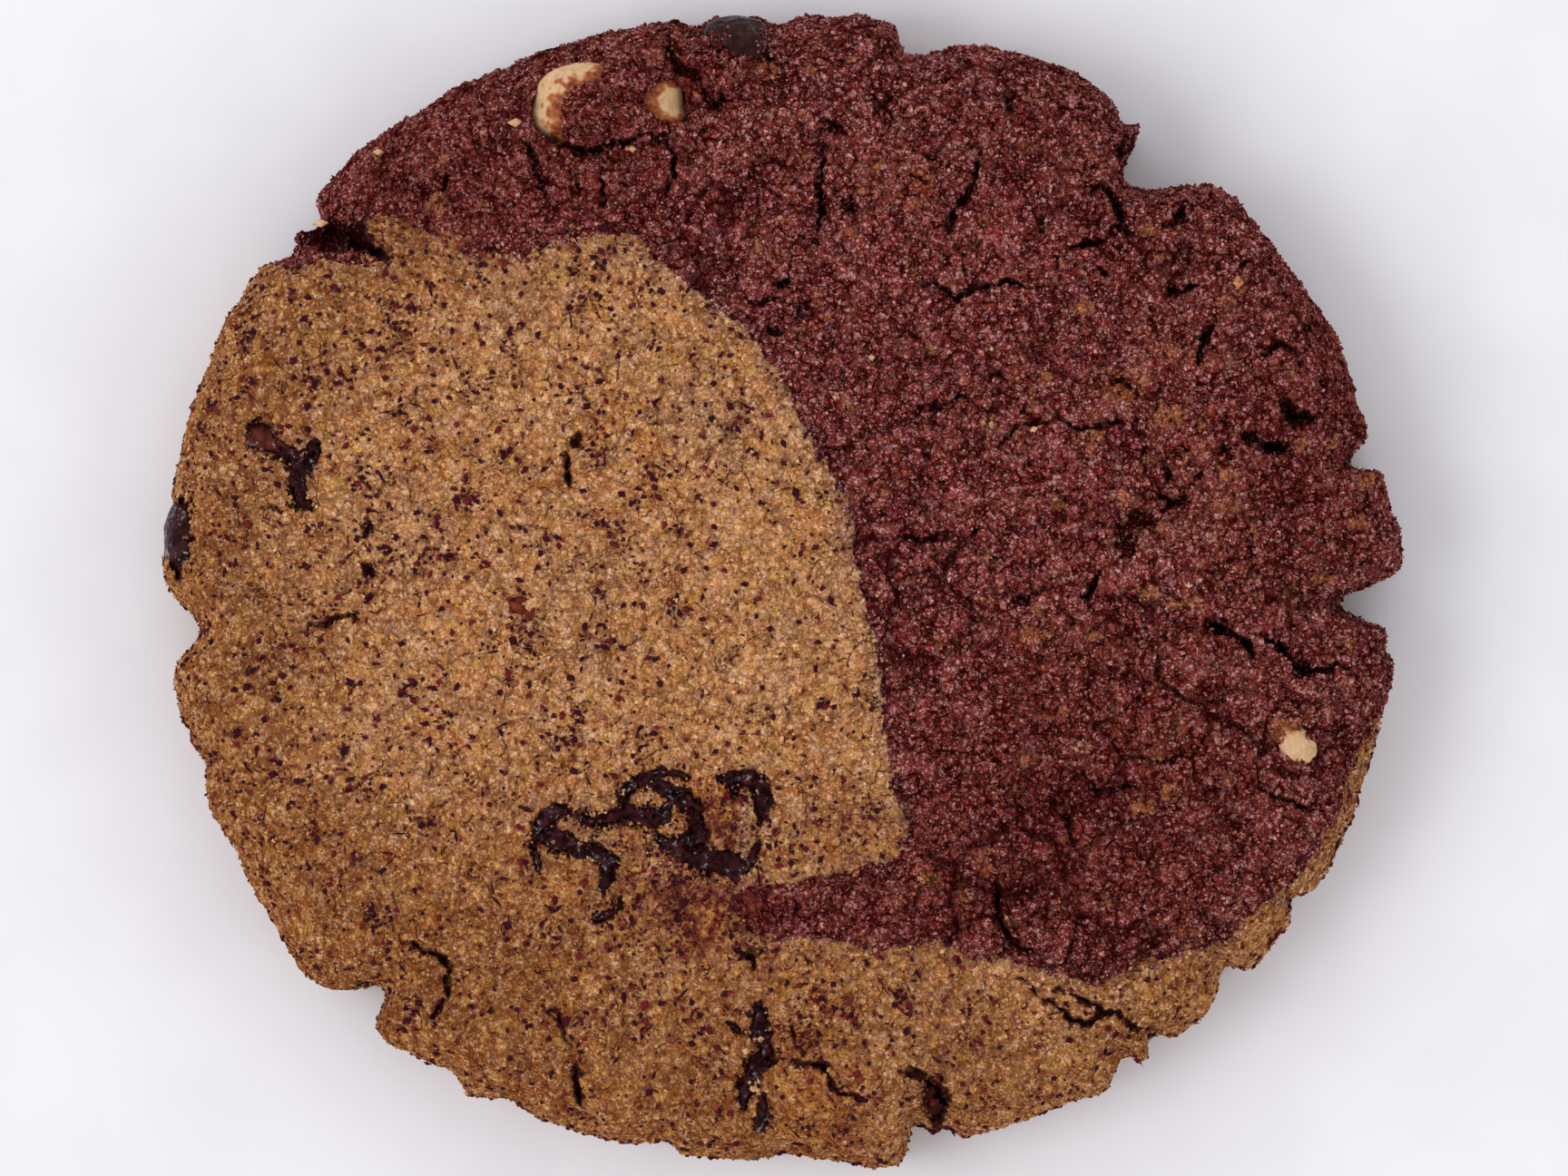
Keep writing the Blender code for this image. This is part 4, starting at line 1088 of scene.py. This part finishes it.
def melt(name, streaks, finish):
    """A closed piece of melted chocolate: its back stands just over the dough, and its edge dips into
    the hollow that the dough leaves for it."""
    places = streak_places(streaks)
    low, high = places.min(0) - 1.3, places.max(0) + 1.3
    xs, ys = (np.arange(a, b, MELT_SPACING) for a, b in zip(low, high))
    grid = columns(*(part.ravel() for part in np.meshgrid(xs, ys, indexing="ij")), 5.0)
    cover = melt_cover(grid, streaks)
    used = (cover > -0.35).reshape(len(xs), len(ys))
    cells = used[:-1, :-1] & used[1:, :-1] & used[:-1, 1:] & used[1:, 1:]
    upper = columns(grid[:, 0], grid[:, 1], melt_top(grid, cover))
    lower = columns(grid[:, 0], grid[:, 1], dome(*grid.T[:2]) - MELT_THICKNESS)
    i, j = np.nonzero(cells)
    corners = ((0, 0), (1, 0), (1, 1), (0, 1))
    a, b, c, d = (np.ravel_multi_index((i + p, j + q), used.shape) for p, q in corners)
    shift = len(grid)
    triangles = [(a, b, c), (a, c, d)]
    triangles += [(a + shift, c + shift, b + shift), (a + shift, d + shift, c + shift)]
    edges = [((a, b), (0, -1)), ((b, c), (1, 0)), ((c, d), (0, 1)), ((d, a), (-1, 0))]
    framed = np.pad(cells, 1)
    for (start, end), (step_x, step_y) in edges:
        open_side = ~framed[i + 1 + step_x, j + 1 + step_y]
        s, e = start[open_side], end[open_side]
        triangles += [(s, s + shift, e + shift), (s, e + shift, e)]
    faces = np.vstack([np.column_stack(three) for three in triangles])
    kept, faces = np.unique(faces, return_inverse=True)
    points = np.vstack((upper, lower))[kept]
    made = object_from(name, points, faces.reshape(-1, 3), finish)
    set_fields(made, {"dusted": spot_strength(points, DUSTED)})
    return made


class Number:
    """A number that nodes work out; Python's operators on it add Math nodes."""

    def __init__(self, finish, socket):
        self.finish = finish
        self.socket = socket

    def worked(self, operation, first, second=0.0):
        node = self.finish.add("ShaderNodeMath", {"operation": operation}, {0: first, 1: second})
        return Number(self.finish, node.outputs[0])

    def __add__(self, other):
        return self.worked("ADD", self, other)

    def __sub__(self, other):
        return self.worked("SUBTRACT", self, other)

    def __rsub__(self, other):
        return self.worked("SUBTRACT", other, self)

    def __mul__(self, other):
        return self.worked("MULTIPLY", self, other)

    def __gt__(self, other):
        return self.worked("GREATER_THAN", self, other)

    __radd__ = __add__
    __rmul__ = __mul__

    def between(self, low, high):
        """0 below low, 1 above high and smooth between them."""
        limits = {"Value": self, "From Min": low, "From Max": high}
        node = self.finish.add("ShaderNodeMapRange", {"interpolation_type": "SMOOTHSTEP"}, limits)
        return Number(self.finish, node.outputs[0])


class Finish:
    """A material in the making. Sizes of patterns are millimetres."""

    def __init__(self, name, roughness=0.8, specular=0.5):
        self.material = bpy.data.materials.new(name)
        self.material.use_nodes = True
        self.tree = self.material.node_tree
        self.shader = self.tree.nodes["Principled BSDF"]
        self.shader.inputs["Roughness"].default_value = roughness
        self.shader.inputs["Specular IOR Level"].default_value = specular
        self.place = self.add("ShaderNodeTexCoord").outputs["Object"]

    def feed(self, socket, value):
        if isinstance(value, Number):
            value = value.socket
        if isinstance(value, bpy.types.NodeSocket):
            self.tree.links.new(value, socket)
        else:
            socket.default_value = value

    def add(self, kind, settings=None, sockets=None):
        node = self.tree.nodes.new(kind)
        for name, value in (settings or {}).items():
            setattr(node, name, value)
        for name, value in (sockets or {}).items():
            self.feed(node.inputs[name], value)
        return node

    def field(self, name):
        """A number kept on the mesh's points."""
        return Number(self, self.add("ShaderNodeAttribute", {"attribute_name": name}).outputs["Fac"])

    def shifted(self, by):
        settings = {"operation": "ADD"}
        return self.add("ShaderNodeVectorMath", settings, {0: self.place, 1: (by, by, by)}).outputs[0]

    def warped(self, size, reach):
        """The place, moved about by noise."""
        sockets = {"Vector": self.place, "Scale": 1 / (size * MM)}
        random = self.add("ShaderNodeTexNoise", None, sockets).outputs["Color"]
        middled = {0: random, 1: (0.5, 0.5, 0.5)}
        middled = self.add("ShaderNodeVectorMath", {"operation": "SUBTRACT"}, middled)
        moved = {0: middled.outputs[0], 1: (2 * reach * MM,) * 3, 2: self.place}
        return self.add("ShaderNodeVectorMath", {"operation": "MULTIPLY_ADD"}, moved).outputs[0]

    def clouds(self, size, shift=0.0, detail=2.0):
        place = self.shifted(shift) if shift else self.place
        sockets = {"Vector": place, "Scale": 1 / (size * MM), "Detail": detail}
        return Number(self, self.add("ShaderNodeTexNoise", None, sockets).outputs["Fac"])

    def cells(self, size):
        """Three random numbers for each grain of a pattern of grains."""
        node = self.add("ShaderNodeTexVoronoi", None, {"Vector": self.place, "Scale": 1 / (size * MM)})
        parts = self.add("ShaderNodeSeparateColor", None, {0: node.outputs["Color"]})
        return [Number(self, part) for part in parts.outputs]

    def gaps(self, size, place=None):
        """How far from the gaps between the grains of the same pattern."""
        sockets = {"Vector": place or self.place, "Scale": 1 / (size * MM)}
        node = self.add("ShaderNodeTexVoronoi", {"feature": "DISTANCE_TO_EDGE"}, sockets)
        return Number(self, node.outputs["Distance"])

    def mix(self, share, first, second):
        node = self.add("ShaderNodeMix", {"data_type": "RGBA"}, {0: share, 6: first, 7: second})
        return node.outputs[2]

    def scaled(self, colour, amount):
        sockets = {0: colour, "Scale": amount}
        return self.add("ShaderNodeVectorMath", {"operation": "SCALE"}, sockets).outputs[0]

    def colour(self, value):
        self.feed(self.shader.inputs["Base Color"], value)

    def roughness(self, value):
        self.feed(self.shader.inputs["Roughness"], value)

    def bump(self, height, strength, distance):
        sockets = {"Height": height, "Strength": strength, "Distance": distance * MM}
        self.feed(self.shader.inputs["Normal"], self.add("ShaderNodeBump", None, sockets).outputs[0])


# Of the tones below, the darkest is painted shade in the gaps between grains and on some dark grains, the
# crack tone is painted shade in cracks and pits, the palest is a painted highlight, and the rim and browned
# tones are partly browning, partly painted shade.
HAZELNUT_TONES = {
    "plain": (0.71, 0.315, 0.116, 1), "brown": (0.61, 0.245, 0.080, 1), "orange": (0.62, 0.215, 0.045, 1),
    "grey": (0.47, 0.260, 0.155, 1), "gold": (0.68, 0.350, 0.085, 1), "cream": (0.80, 0.440, 0.235, 1),
    "stained": (0.12, 0.016, 0.026, 1), "browned_and_shaded": (0.26, 0.076, 0.013, 1), "rim": (0.24, 0.078, 0.016, 1),
    "deep": (0.050, 0.006, 0.005, 1), "painted_glint": (0.92, 0.610, 0.380, 1), "speck": (0.13, 0.018, 0.018, 1),
    "crack": (0.030, 0.005, 0.006, 1),
}
CHOCOLATE_TONES = {
    "plain": (0.320, 0.045, 0.045, 1), "brown": (0.250, 0.033, 0.032, 1), "orange": (0.37, 0.085, 0.028, 1),
    "grey": (0.180, 0.040, 0.046, 1), "gold": (0.330, 0.076, 0.042, 1), "cream": (0.32, 0.088, 0.074, 1),
    "stained": (0.10, 0.013, 0.014, 1), "browned_and_shaded": (0.15, 0.017, 0.013, 1), "rim": (0.18, 0.029, 0.023, 1),
    "deep": (0.020, 0.0002, 0.0004, 1), "painted_glint": (0.76, 0.425, 0.395, 1), "speck": (0.03, 0.002, 0.004, 1),
    "crack": (0.014, 0.0005, 0.0007, 1),
}

# Clouds of other tones in a dough: tone, size and shift of the noise, where it starts and is full, and
# how much of the tone shows
TONE_CLOUDS = [
    ("orange", 2.4, 0.3, 0.54, 0.68, 0.6), ("gold", 1.3, 1.5, 0.54, 0.64, 0.8),
    ("grey", 2.8, 0.6, 0.54, 0.70, 0.6), ("cream", 0.9, 1.2, 0.54, 0.64, 0.8),
]

# A dough's tones and the size of its grain. Then, for its crust and for its crumbs, how far single grains
# go towards painted shade and towards a painted highlight, and how dark the painted shade in its gaps and
# how bright its painted highlights are.
DOUGH_LOOKS = {
    "hazelnut": (HAZELNUT_TONES, 0.42, ((0.25, 0.45), (0.65, 0.75)), ((0.3, 0.45), (0.6, 0.75))),
    "chocolate": (CHOCOLATE_TONES, 0.36, ((0.6, 0.45), (0.95, 0.8)), ((0.6, 0.5), (0.92, 0.8))),
}

NUT_TONES = {
    "cream": (0.60, 0.34, 0.18, 1), "ochre": (0.50, 0.175, 0.064, 1), "orange": (0.38, 0.100, 0.034, 1),
    "red": (0.11, 0.012, 0.007, 1), "pale": (0.58, 0.365, 0.200, 1), "yellow": (0.50, 0.305, 0.145, 1),
    "streak": (0.34, 0.19, 0.06, 1), "stained": (0.33, 0.078, 0.007, 1), "burnt": (0.14, 0.018, 0.006, 1),
}
SKIN_TONES = [(0.032, 0.003, 0.010, 1), (0.14, 0.012, 0.014, 1)]
MELTED_TONES = [(0.009, 0.0008, 0.0014, 1), (0.034, 0.006, 0.008, 1)]
MATT_TONES = [(0.019, 0.007, 0.006, 1), (0.032, 0.012, 0.010, 1)]
DUST_TONES = [(0.11, 0.030, 0.024, 1), (0.13, 0.026, 0.017, 1)]
TABLE_TONES = [(0.80, 0.785, 0.81, 1), (0.83, 0.815, 0.84, 1)]


def nut_tone(finish):
    """A nut bit's colour from cream through ochre to orange-brown and red-brown, by its tone."""
    tone = finish.field("tone")
    colour = finish.mix(tone.between(0.1, 0.6), NUT_TONES["cream"], NUT_TONES["ochre"])
    colour = finish.mix(tone.between(0.6, 1.0), colour, NUT_TONES["orange"])
    return finish.mix(tone.between(1.1, 1.5), colour, NUT_TONES["red"])


def bit_strength(finish):
    """How strongly a nut bit under the dough shows: in crumbs of it, rather than all over."""
    return finish.field("nut") * finish.clouds(0.5, 1.7).between(0.36, 0.54)


def dough_ground(finish, tones):
    """A dough's colour as it changes over millimetres, before its grain."""
    colour = finish.mix(finish.clouds(8.0).between(0.42, 0.62), tones["plain"], tones["brown"])
    for tone, size, shift, low, high, share in TONE_CLOUDS:
        colour = finish.mix(finish.clouds(size, shift).between(low, high) * share, colour, tones[tone])
    # Grey, browned and orange patches from the point fields; the browned ones are partly painted shade
    for tone in ("grey", "browned_and_shaded", "orange"):
        colour = finish.mix(finish.field(tone), colour, tones[tone])
    blotch = finish.clouds(0.7, 0.9).between(0.42, 0.56)
    colour = finish.mix(finish.field("stained") * (0.25 + blotch * 0.9), colour, tones["stained"])
    colour = finish.mix(bit_strength(finish) * 0.95, colour, nut_tone(finish))
    # Darker towards the rim: partly browning, partly painted shade where the top falls away
    length = finish.add("ShaderNodeVectorMath", {"operation": "LENGTH"}, {0: finish.place})
    reach = Number(finish, length.outputs["Value"])
    towards_rim = (reach + finish.clouds(6.0, 0.2) * 0.012).between(0.036, 0.050)
    return finish.mix(towards_rim * 0.8, colour, tones["rim"])


def freshness(finish):
    """1 for plain dough, and less on the browned and shaded patches and on stained ones, which get fewer
    painted highlights.
    """
    return 1 - finish.field("browned_and_shaded") * 0.45 - finish.field("stained") * 0.9


def shaded(finish, colour, tones, share, darks, brights):
    """A colour that differs from grain to grain: towards painted shade where share is low and towards a
    painted highlight where it is high.
    """
    colour = finish.mix((1 - share.between(0.0, 0.5)) * darks, colour, tones["deep"])
    return finish.mix(share.between(0.5, 1.0) * freshness(finish) * brights, colour, tones["painted_glint"])


def grainy(finish, colour, tones, size, gaps, glints):
    """A colour broken up by fine grain: painted shade, near black, in the gaps between clumps of grains,
    painted shade between the grains themselves, and painted highlights on the grains that stand up."""
    grain = finish.clouds(size, 0.05, 1.0) * 0.45 + finish.clouds(0.4 * size, 0.3, 1.0) * 0.55
    # Painted shade between the grains, gold clouds, and painted highlights on the raised grains
    colour = finish.mix((1 - grain.between(0.38, 0.48)) * gaps * 0.8, colour, tones["deep"])
    colour = finish.mix(finish.clouds(1.6 * size, 2.1).between(0.54, 0.62) * 0.5, colour, tones["gold"])
    colour = finish.mix(grain.between(0.54, 0.62) * freshness(finish) * glints, colour, tones["painted_glint"])
    # Painted shade along the edges of clumps of grains, in the browned tone, and darker painted shade in
    # the open gaps between clumps
    for wide, places, reach in ((3.4 * size, 0.7, 1.4), (1.7 * size, 0.9, 0.7)):
        clump = finish.gaps(wide, finish.warped(2.0 * size, reach * size))
        colour = finish.mix((1 - clump.between(0.0, 0.35)) * 0.2, colour, tones["browned_and_shaded"])
        open_here = finish.clouds(1.8, places).between(0.40, 0.54)
        colour = finish.mix((1 - clump.between(0.02, 0.10)) * open_here * gaps**2, colour, tones["deep"])
    nut = finish.scaled(nut_tone(finish), grain * 1.6 + 0.1)
    return finish.mix(bit_strength(finish) * 0.6, colour, nut)


def crust_finish(dough):
    """The crust of a dough: ground, grains with painted shade in their gaps and painted highlights, specks,
    and hairlines, cracks and pits darkened with painted shade.
    """
    tones, grain, (shades, shares), _ = DOUGH_LOOKS[dough]
    finish = Finish(dough + "_crust", 0.75, 0.0)
    bright, _, fleck = finish.cells(grain)
    gap = finish.gaps(grain)
    share = bright * 0.5 + finish.field("tint") * 0.5
    colour = shaded(finish, dough_ground(finish, tones), tones, share, *shades)
    colour = grainy(finish, colour, tones, grain, *shares)
    colour = finish.mix((fleck > 0.9) * 0.4, colour, tones["speck"])
    # Painted shade in the gaps between the grains of the pattern
    colour = finish.mix((1 - gap.between(0.0, 0.16)) * shares[0] * 0.5, colour, tones["deep"])
    # Hairline cracks: thin lines of painted shade, also cut into the bump
    hairline = finish.gaps(2.3, finish.warped(0.8, 0.35))
    hairline = (1 - hairline.between(0.008, 0.035)) * finish.clouds(1.6, 0.5).between(0.54, 0.6)
    colour = finish.mix(hairline * 0.8, colour, tones["deep"])
    # Painted shade in the open cracks and pits, by their depth
    finish.colour(finish.mix(finish.field("depth").between(0.05, 0.7) * 0.95, colour, tones["crack"]))
    finish.roughness(finish.clouds(0.5) * 0.3 + 0.6)
    finish.bump(gap.between(0.0, 0.35) + finish.clouds(grain, 0.05) * 1.5 - hairline, 0.7, 0.12)
    return finish.material


def crumb_finish(dough):
    """Loose grains of a dough, each with a tint of its own."""
    tones, grain, _, (shades, shares) = DOUGH_LOOKS[dough]
    finish = Finish(dough + "_crumb", 0.7, 0.0)
    colour = shaded(finish, dough_ground(finish, tones), tones, finish.field("tint"), *shades)
    colour = grainy(finish, colour, tones, grain, *shares)
    # Painted shade on crumbs that lie in cracks, by the depth there
    finish.colour(finish.mix(finish.field("depth") * 0.75, colour, tones["crack"]))
    finish.roughness(finish.clouds(0.3) * 0.35 + 0.5)
    finish.bump(finish.clouds(0.1), 0.4, 0.05)
    return finish.material


def fleck_finish():
    finish = Finish("nut_skin", 0.5, 0.05)
    tint = finish.field("tint")
    colour = finish.mix(tint.between(0.5, 1.0), *SKIN_TONES)
    finish.colour(finish.scaled(colour, finish.clouds(0.2) + 0.5))
    finish.roughness(finish.clouds(0.3) * 0.4 + 0.35)
    return finish.material


def nut_bit_finish():
    """Bare crumbly bits of nut."""
    finish = Finish("nut_bit", 0.6, 0.08)
    finish.colour(finish.scaled(nut_tone(finish), finish.clouds(0.3, 0.05, 3.0) * 1.6 + 0.2))
    finish.roughness(finish.clouds(0.3) * 0.3 + 0.45)
    finish.bump(finish.clouds(0.2), 0.5, 0.08)
    return finish.material


def nut_finish():
    """A bare nut half: cream, with yellowish streaks and brown stains where the dough meets it."""
    finish = Finish("nut", 0.5, 0.2)
    streaky = finish.clouds(1.2).between(0.4, 0.65)
    colour = finish.mix(streaky, NUT_TONES["pale"], NUT_TONES["yellow"])
    colour = finish.mix(finish.clouds(0.5, 0.4).between(0.55, 0.75) * 0.5, colour, NUT_TONES["streak"])
    stain = finish.field("stained") * (finish.clouds(0.35, 1.1) * 1.2 + 0.4)
    colour = finish.mix(stain.between(0.1, 0.7) * 0.9, colour, NUT_TONES["stained"])
    colour = finish.mix(stain.between(0.6, 1.2), colour, NUT_TONES["burnt"])
    finish.colour(finish.scaled(colour, finish.clouds(0.25, 0.7, 3.0) * 0.5 + 0.75))
    finish.roughness(finish.clouds(0.6) * 0.25 + 0.45)
    finish.bump(finish.clouds(0.4) + finish.clouds(0.15) * 0.4, 0.5, 0.1)
    return finish.material


def chocolate_finish(name, dark, light, gloss):
    """Melted and set chocolate, with a wet gloss in small patches, and dull where crumbs dusted it."""
    finish = Finish(name, 0.35, 0.05)
    colour = finish.mix(finish.clouds(0.8, 0.2).between(0.4, 0.6), dark, light)
    dusty = finish.clouds(0.4, 0.4).between(0.6, 0.7)
    colour = finish.mix(dusty * 0.3, colour, DUST_TONES[0])
    crumbly = finish.clouds(0.5, 0.8, 3.0).between(0.35, 0.6)
    finish.colour(finish.mix(finish.field("dusted") * (0.4 + crumbly * 0.6), colour, DUST_TONES[1]))
    wet = finish.clouds(1.1, 0.3).between(0.50, 0.58) * finish.clouds(0.3, 0.6).between(0.52, 0.60)
    finish.feed(finish.shader.inputs["Coat Weight"], wet * gloss)
    finish.shader.inputs["Coat Roughness"].default_value = 0.12
    finish.shader.inputs["Coat IOR"].default_value = 1.8
    finish.roughness(dusty * 0.3 + 0.3)
    finish.bump(finish.clouds(0.5, 0.1, 2.0), 0.9, 0.25)
    return finish.material


def table_finish():
    finish = Finish("pale_table", 0.85, 0.2)
    finish.colour(finish.mix(finish.clouds(12.0).between(0.35, 0.65), *TABLE_TONES))
    return finish.material


def add_piece(piece, slot, *nodes):
    """Makes a piece ride with the cookie, and stand for CAD nodes where some are given."""
    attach(piece, "root")
    if nodes:
        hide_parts(*nodes)


def doughs(surface):
    """The two doughs' crusts, cut from the whole cookie's surface along the ragged seam."""
    block = hazelnut_block()
    for dough, operation in (("hazelnut", "INTERSECT"), ("chocolate", "DIFFERENCE")):
        crust = object_from(dough + "_dough_crust", *surface, crust_finish(dough))
        cut(crust, block, operation)
        points = plan_points(crust)
        # Crack depth at each point, for the painted shade in cracks
        depth = np.minimum(1.0, sum(surface_depths(points)) / DEEPEST)
        tint = np.random.default_rng(SEED).random(len(points))
        set_fields(crust, {**colour_fields(points), "depth": depth, "tint": tint})
        add_piece(crust, dough + "_dough", dough + "_dough")
    bpy.data.objects.remove(block, do_unlink=True)


def bare_nut_half(finish):
    """The nut half as it shows beside the film, lower under it and stained where the film ends."""
    at, faces = pebble(NUT_HALF, square=NUT_SQUARE)
    bareness = beside_film(at)
    at[:, 2] -= NUT_SUNK * (1 - smooth_steps(bareness, -0.6, -0.1)) * (at[:, 2] > NUT_HALF["at"][2])
    half = object_from("hazelnut_half_bare", at, faces, finish)
    inner_edge = bareness + 0.5 * waves(at, 0.7) + 0.35 * waves(at, 0.3)
    stain = np.where(at[:, 0] > plan(NUT_COVER_ENDS, 0)[0], 1.25, 0.75)
    set_fields(half, {"stained": 1 - smooth_steps(inner_edge / stain, 0.2, 1.0)})
    return half


def bare_nut_chip(finish):
    """The pebbly chip of nut, stained on its upper left."""
    at, faces = pebble(NUT_CHIP, 5, 0.07)
    chip = object_from("hazelnut_chip_bare", at, faces, finish)
    upper_left = NUT_CHIP["at"][0] - at[:, 0] + at[:, 1] - NUT_CHIP["at"][1]
    set_fields(chip, {"stained": 0.75 * smooth_steps(upper_left + 2 * waves(at, 0.8), 0.0, 1.8)})
    return chip


def cookie():
    """Every piece: the doughs with their grains and flecks, the bits and nuts, and the chocolate."""
    points, triangles, inset = whole_surface()
    depths = surface_depths(points)
    surface = (roughened(points, triangles, inset, *depths), triangles)
    doughs(surface)
    middles = surface[0][triangles].mean(axis=1)
    middles += SEAM_MINGLED * np.random.default_rng(SEED).normal(size=middles.shape)
    hazelnut = inside_hazelnut(middles).astype(float)
    mixed = 1.2 * spot_strength(middles, STAINS)
    narrow = crack_depths(points, []) + depths[1]
    closed = 1 - 0.8 * smooth_steps(narrow[triangles].mean(axis=1), 0.1, 0.32)
    chocolate_share = np.maximum(1 - hazelnut, mixed) * closed

    hazelnut_crumb = crumb_finish("hazelnut")
    chocolate_crumb = crumb_finish("chocolate")
    for name, share, numbers, seed, finish in (
        ("hazelnut", hazelnut * closed, HAZELNUT_GRAINS, SEED + 1, hazelnut_crumb),
        ("chocolate", chocolate_share, CHOCOLATE_GRAINS, SEED + 2, chocolate_crumb),
    ):
        add_piece(crumbs(name + "_crumb", surface, share, numbers, seed, finish), name + "_dough")
    add_piece(skin_flecks(surface, hazelnut, fleck_finish()), "hazelnut_dough")

    add_piece(nut_bits("crisp_bits", CRISP_BITS, SEED + 6, nut_bit_finish()), "nut")
    nut = nut_finish()
    add_piece(bare_nut_half(nut), "nut", "hazelnut_half")
    add_piece(bare_nut_chip(nut), "nut", "hazelnut_chip")

    dark_crumb = chocolate_finish("dark_crumb", *MELTED_TONES, 0.2)
    chocolate = chocolate_finish("melted_chocolate", *MELTED_TONES, 1.0)
    matt = chocolate_finish("matt_chocolate", *MATT_TONES, 0.3)
    for name, numbers, seed, finish, slot in (
        ("black_crumbs", BLACK_CRUMBS, SEED + 4, dark_crumb, "chocolate"),
        ("pale_crumbs", PALE_CRUMBS, SEED + 8, hazelnut_crumb, "hazelnut_dough"),
    ):
        add_piece(strewn(name, surface, numbers, seed, finish), slot)
    for name, shape, look, numbers, finish in (
        ("chip_left_rim", RIM_CHIP, chocolate, CHIP_CRUMBS, hazelnut_crumb),
        ("chunk_top_rim", TOP_RIM_CHUNK, matt, CHUNK_CRUMBS, chocolate_crumb),
    ):
        chip = pebble(shape, folds=0.03)
        add_piece(object_from("glossy_" + name, *chip, look), "chocolate", "chocolate_" + name)
        add_piece(crumbs_on("crumbs_on_" + name, chip, numbers, SEED + 9, finish), "chocolate_dough")
    for name, streaks, node in (
        ("glossy_melt_left", LEFT_MELT, "chocolate_melt_left"),
        ("glossy_melt_swirl", SWIRL_MELT, "chocolate_melt_swirl"),
        ("glossy_melt_lower", LOWER_MELT, "chocolate_melt_lower"),
    ):
        add_piece(melt(name, streaks, chocolate), "chocolate", node)


# The camera looks straight down on the middle of the picture
LENS = 1000.0
SENSOR = 36.0


def camera():
    data = bpy.data.cameras.new("camera")
    data.lens = LENS
    data.sensor_width = SENSOR
    obj = bpy.data.objects.new("camera", data)
    distance = PICTURE_SIZE[0] * PIXEL * LENS / SENSOR + RIM_HEIGHT
    middle = plan(PICTURE_SIZE[0] / 2, PICTURE_SIZE[1] / 2)
    obj.location = (np.array((*middle, distance)) + MIDDLE_SHIFT) * MM
    data.clip_end = 10.0
    bpy.context.scene.collection.objects.link(obj)
    bpy.context.scene.camera = obj


TABLE_SIZE = 3.0  # in metres, as the window's size and place are


def table():
    bpy.ops.mesh.primitive_plane_add(size=TABLE_SIZE)
    made = bpy.context.object
    made.name = "table"
    made.data.materials.append(table_finish())


WINDOW_POWER = 20.5
WINDOW_SIZE = 1.4
WINDOW_PLACE = Vector((-1.70, -0.36, 1.76))


def window():
    """A soft light from the upper left."""
    data = bpy.data.lights.new("window", "AREA")
    data.energy = WINDOW_POWER
    data.size = WINDOW_SIZE
    obj = bpy.data.objects.new("window", data)
    obj.location = WINDOW_PLACE
    obj.rotation_euler = (-WINDOW_PLACE).to_track_quat("-Z", "Y").to_euler()
    bpy.context.scene.collection.objects.link(obj)


ROOM_TONE = (0.96, 0.97, 1.0, 1)
ROOM_BRIGHT = 1.44  # its light from the sides
ROOM_DARK = 0.3  # and from straight above, where the picture was taken


def room():
    """The pale room that lights the cookie from all sides."""
    world = bpy.data.worlds.new("room")
    world.use_nodes = True
    nodes, links = world.node_tree.nodes, world.node_tree.links
    ground = nodes["Background"]
    ground.inputs["Color"].default_value = ROOM_TONE
    parts = nodes.new("ShaderNodeSeparateXYZ")
    links.new(nodes.new("ShaderNodeTexCoord").outputs["Generated"], parts.inputs[0])
    height = nodes.new("ShaderNodeMapRange")
    height.interpolation_type = "SMOOTHSTEP"
    links.new(parts.outputs["Z"], height.inputs["Value"])
    height.inputs["From Min"].default_value = 0.5
    height.inputs["To Min"].default_value = ROOM_BRIGHT
    height.inputs["To Max"].default_value = ROOM_DARK
    links.new(height.outputs[0], ground.inputs["Strength"])
    bpy.context.scene.world = world
    bpy.context.scene.view_settings.view_transform = "Standard"


camera()
table()
window()
room()
cookie()
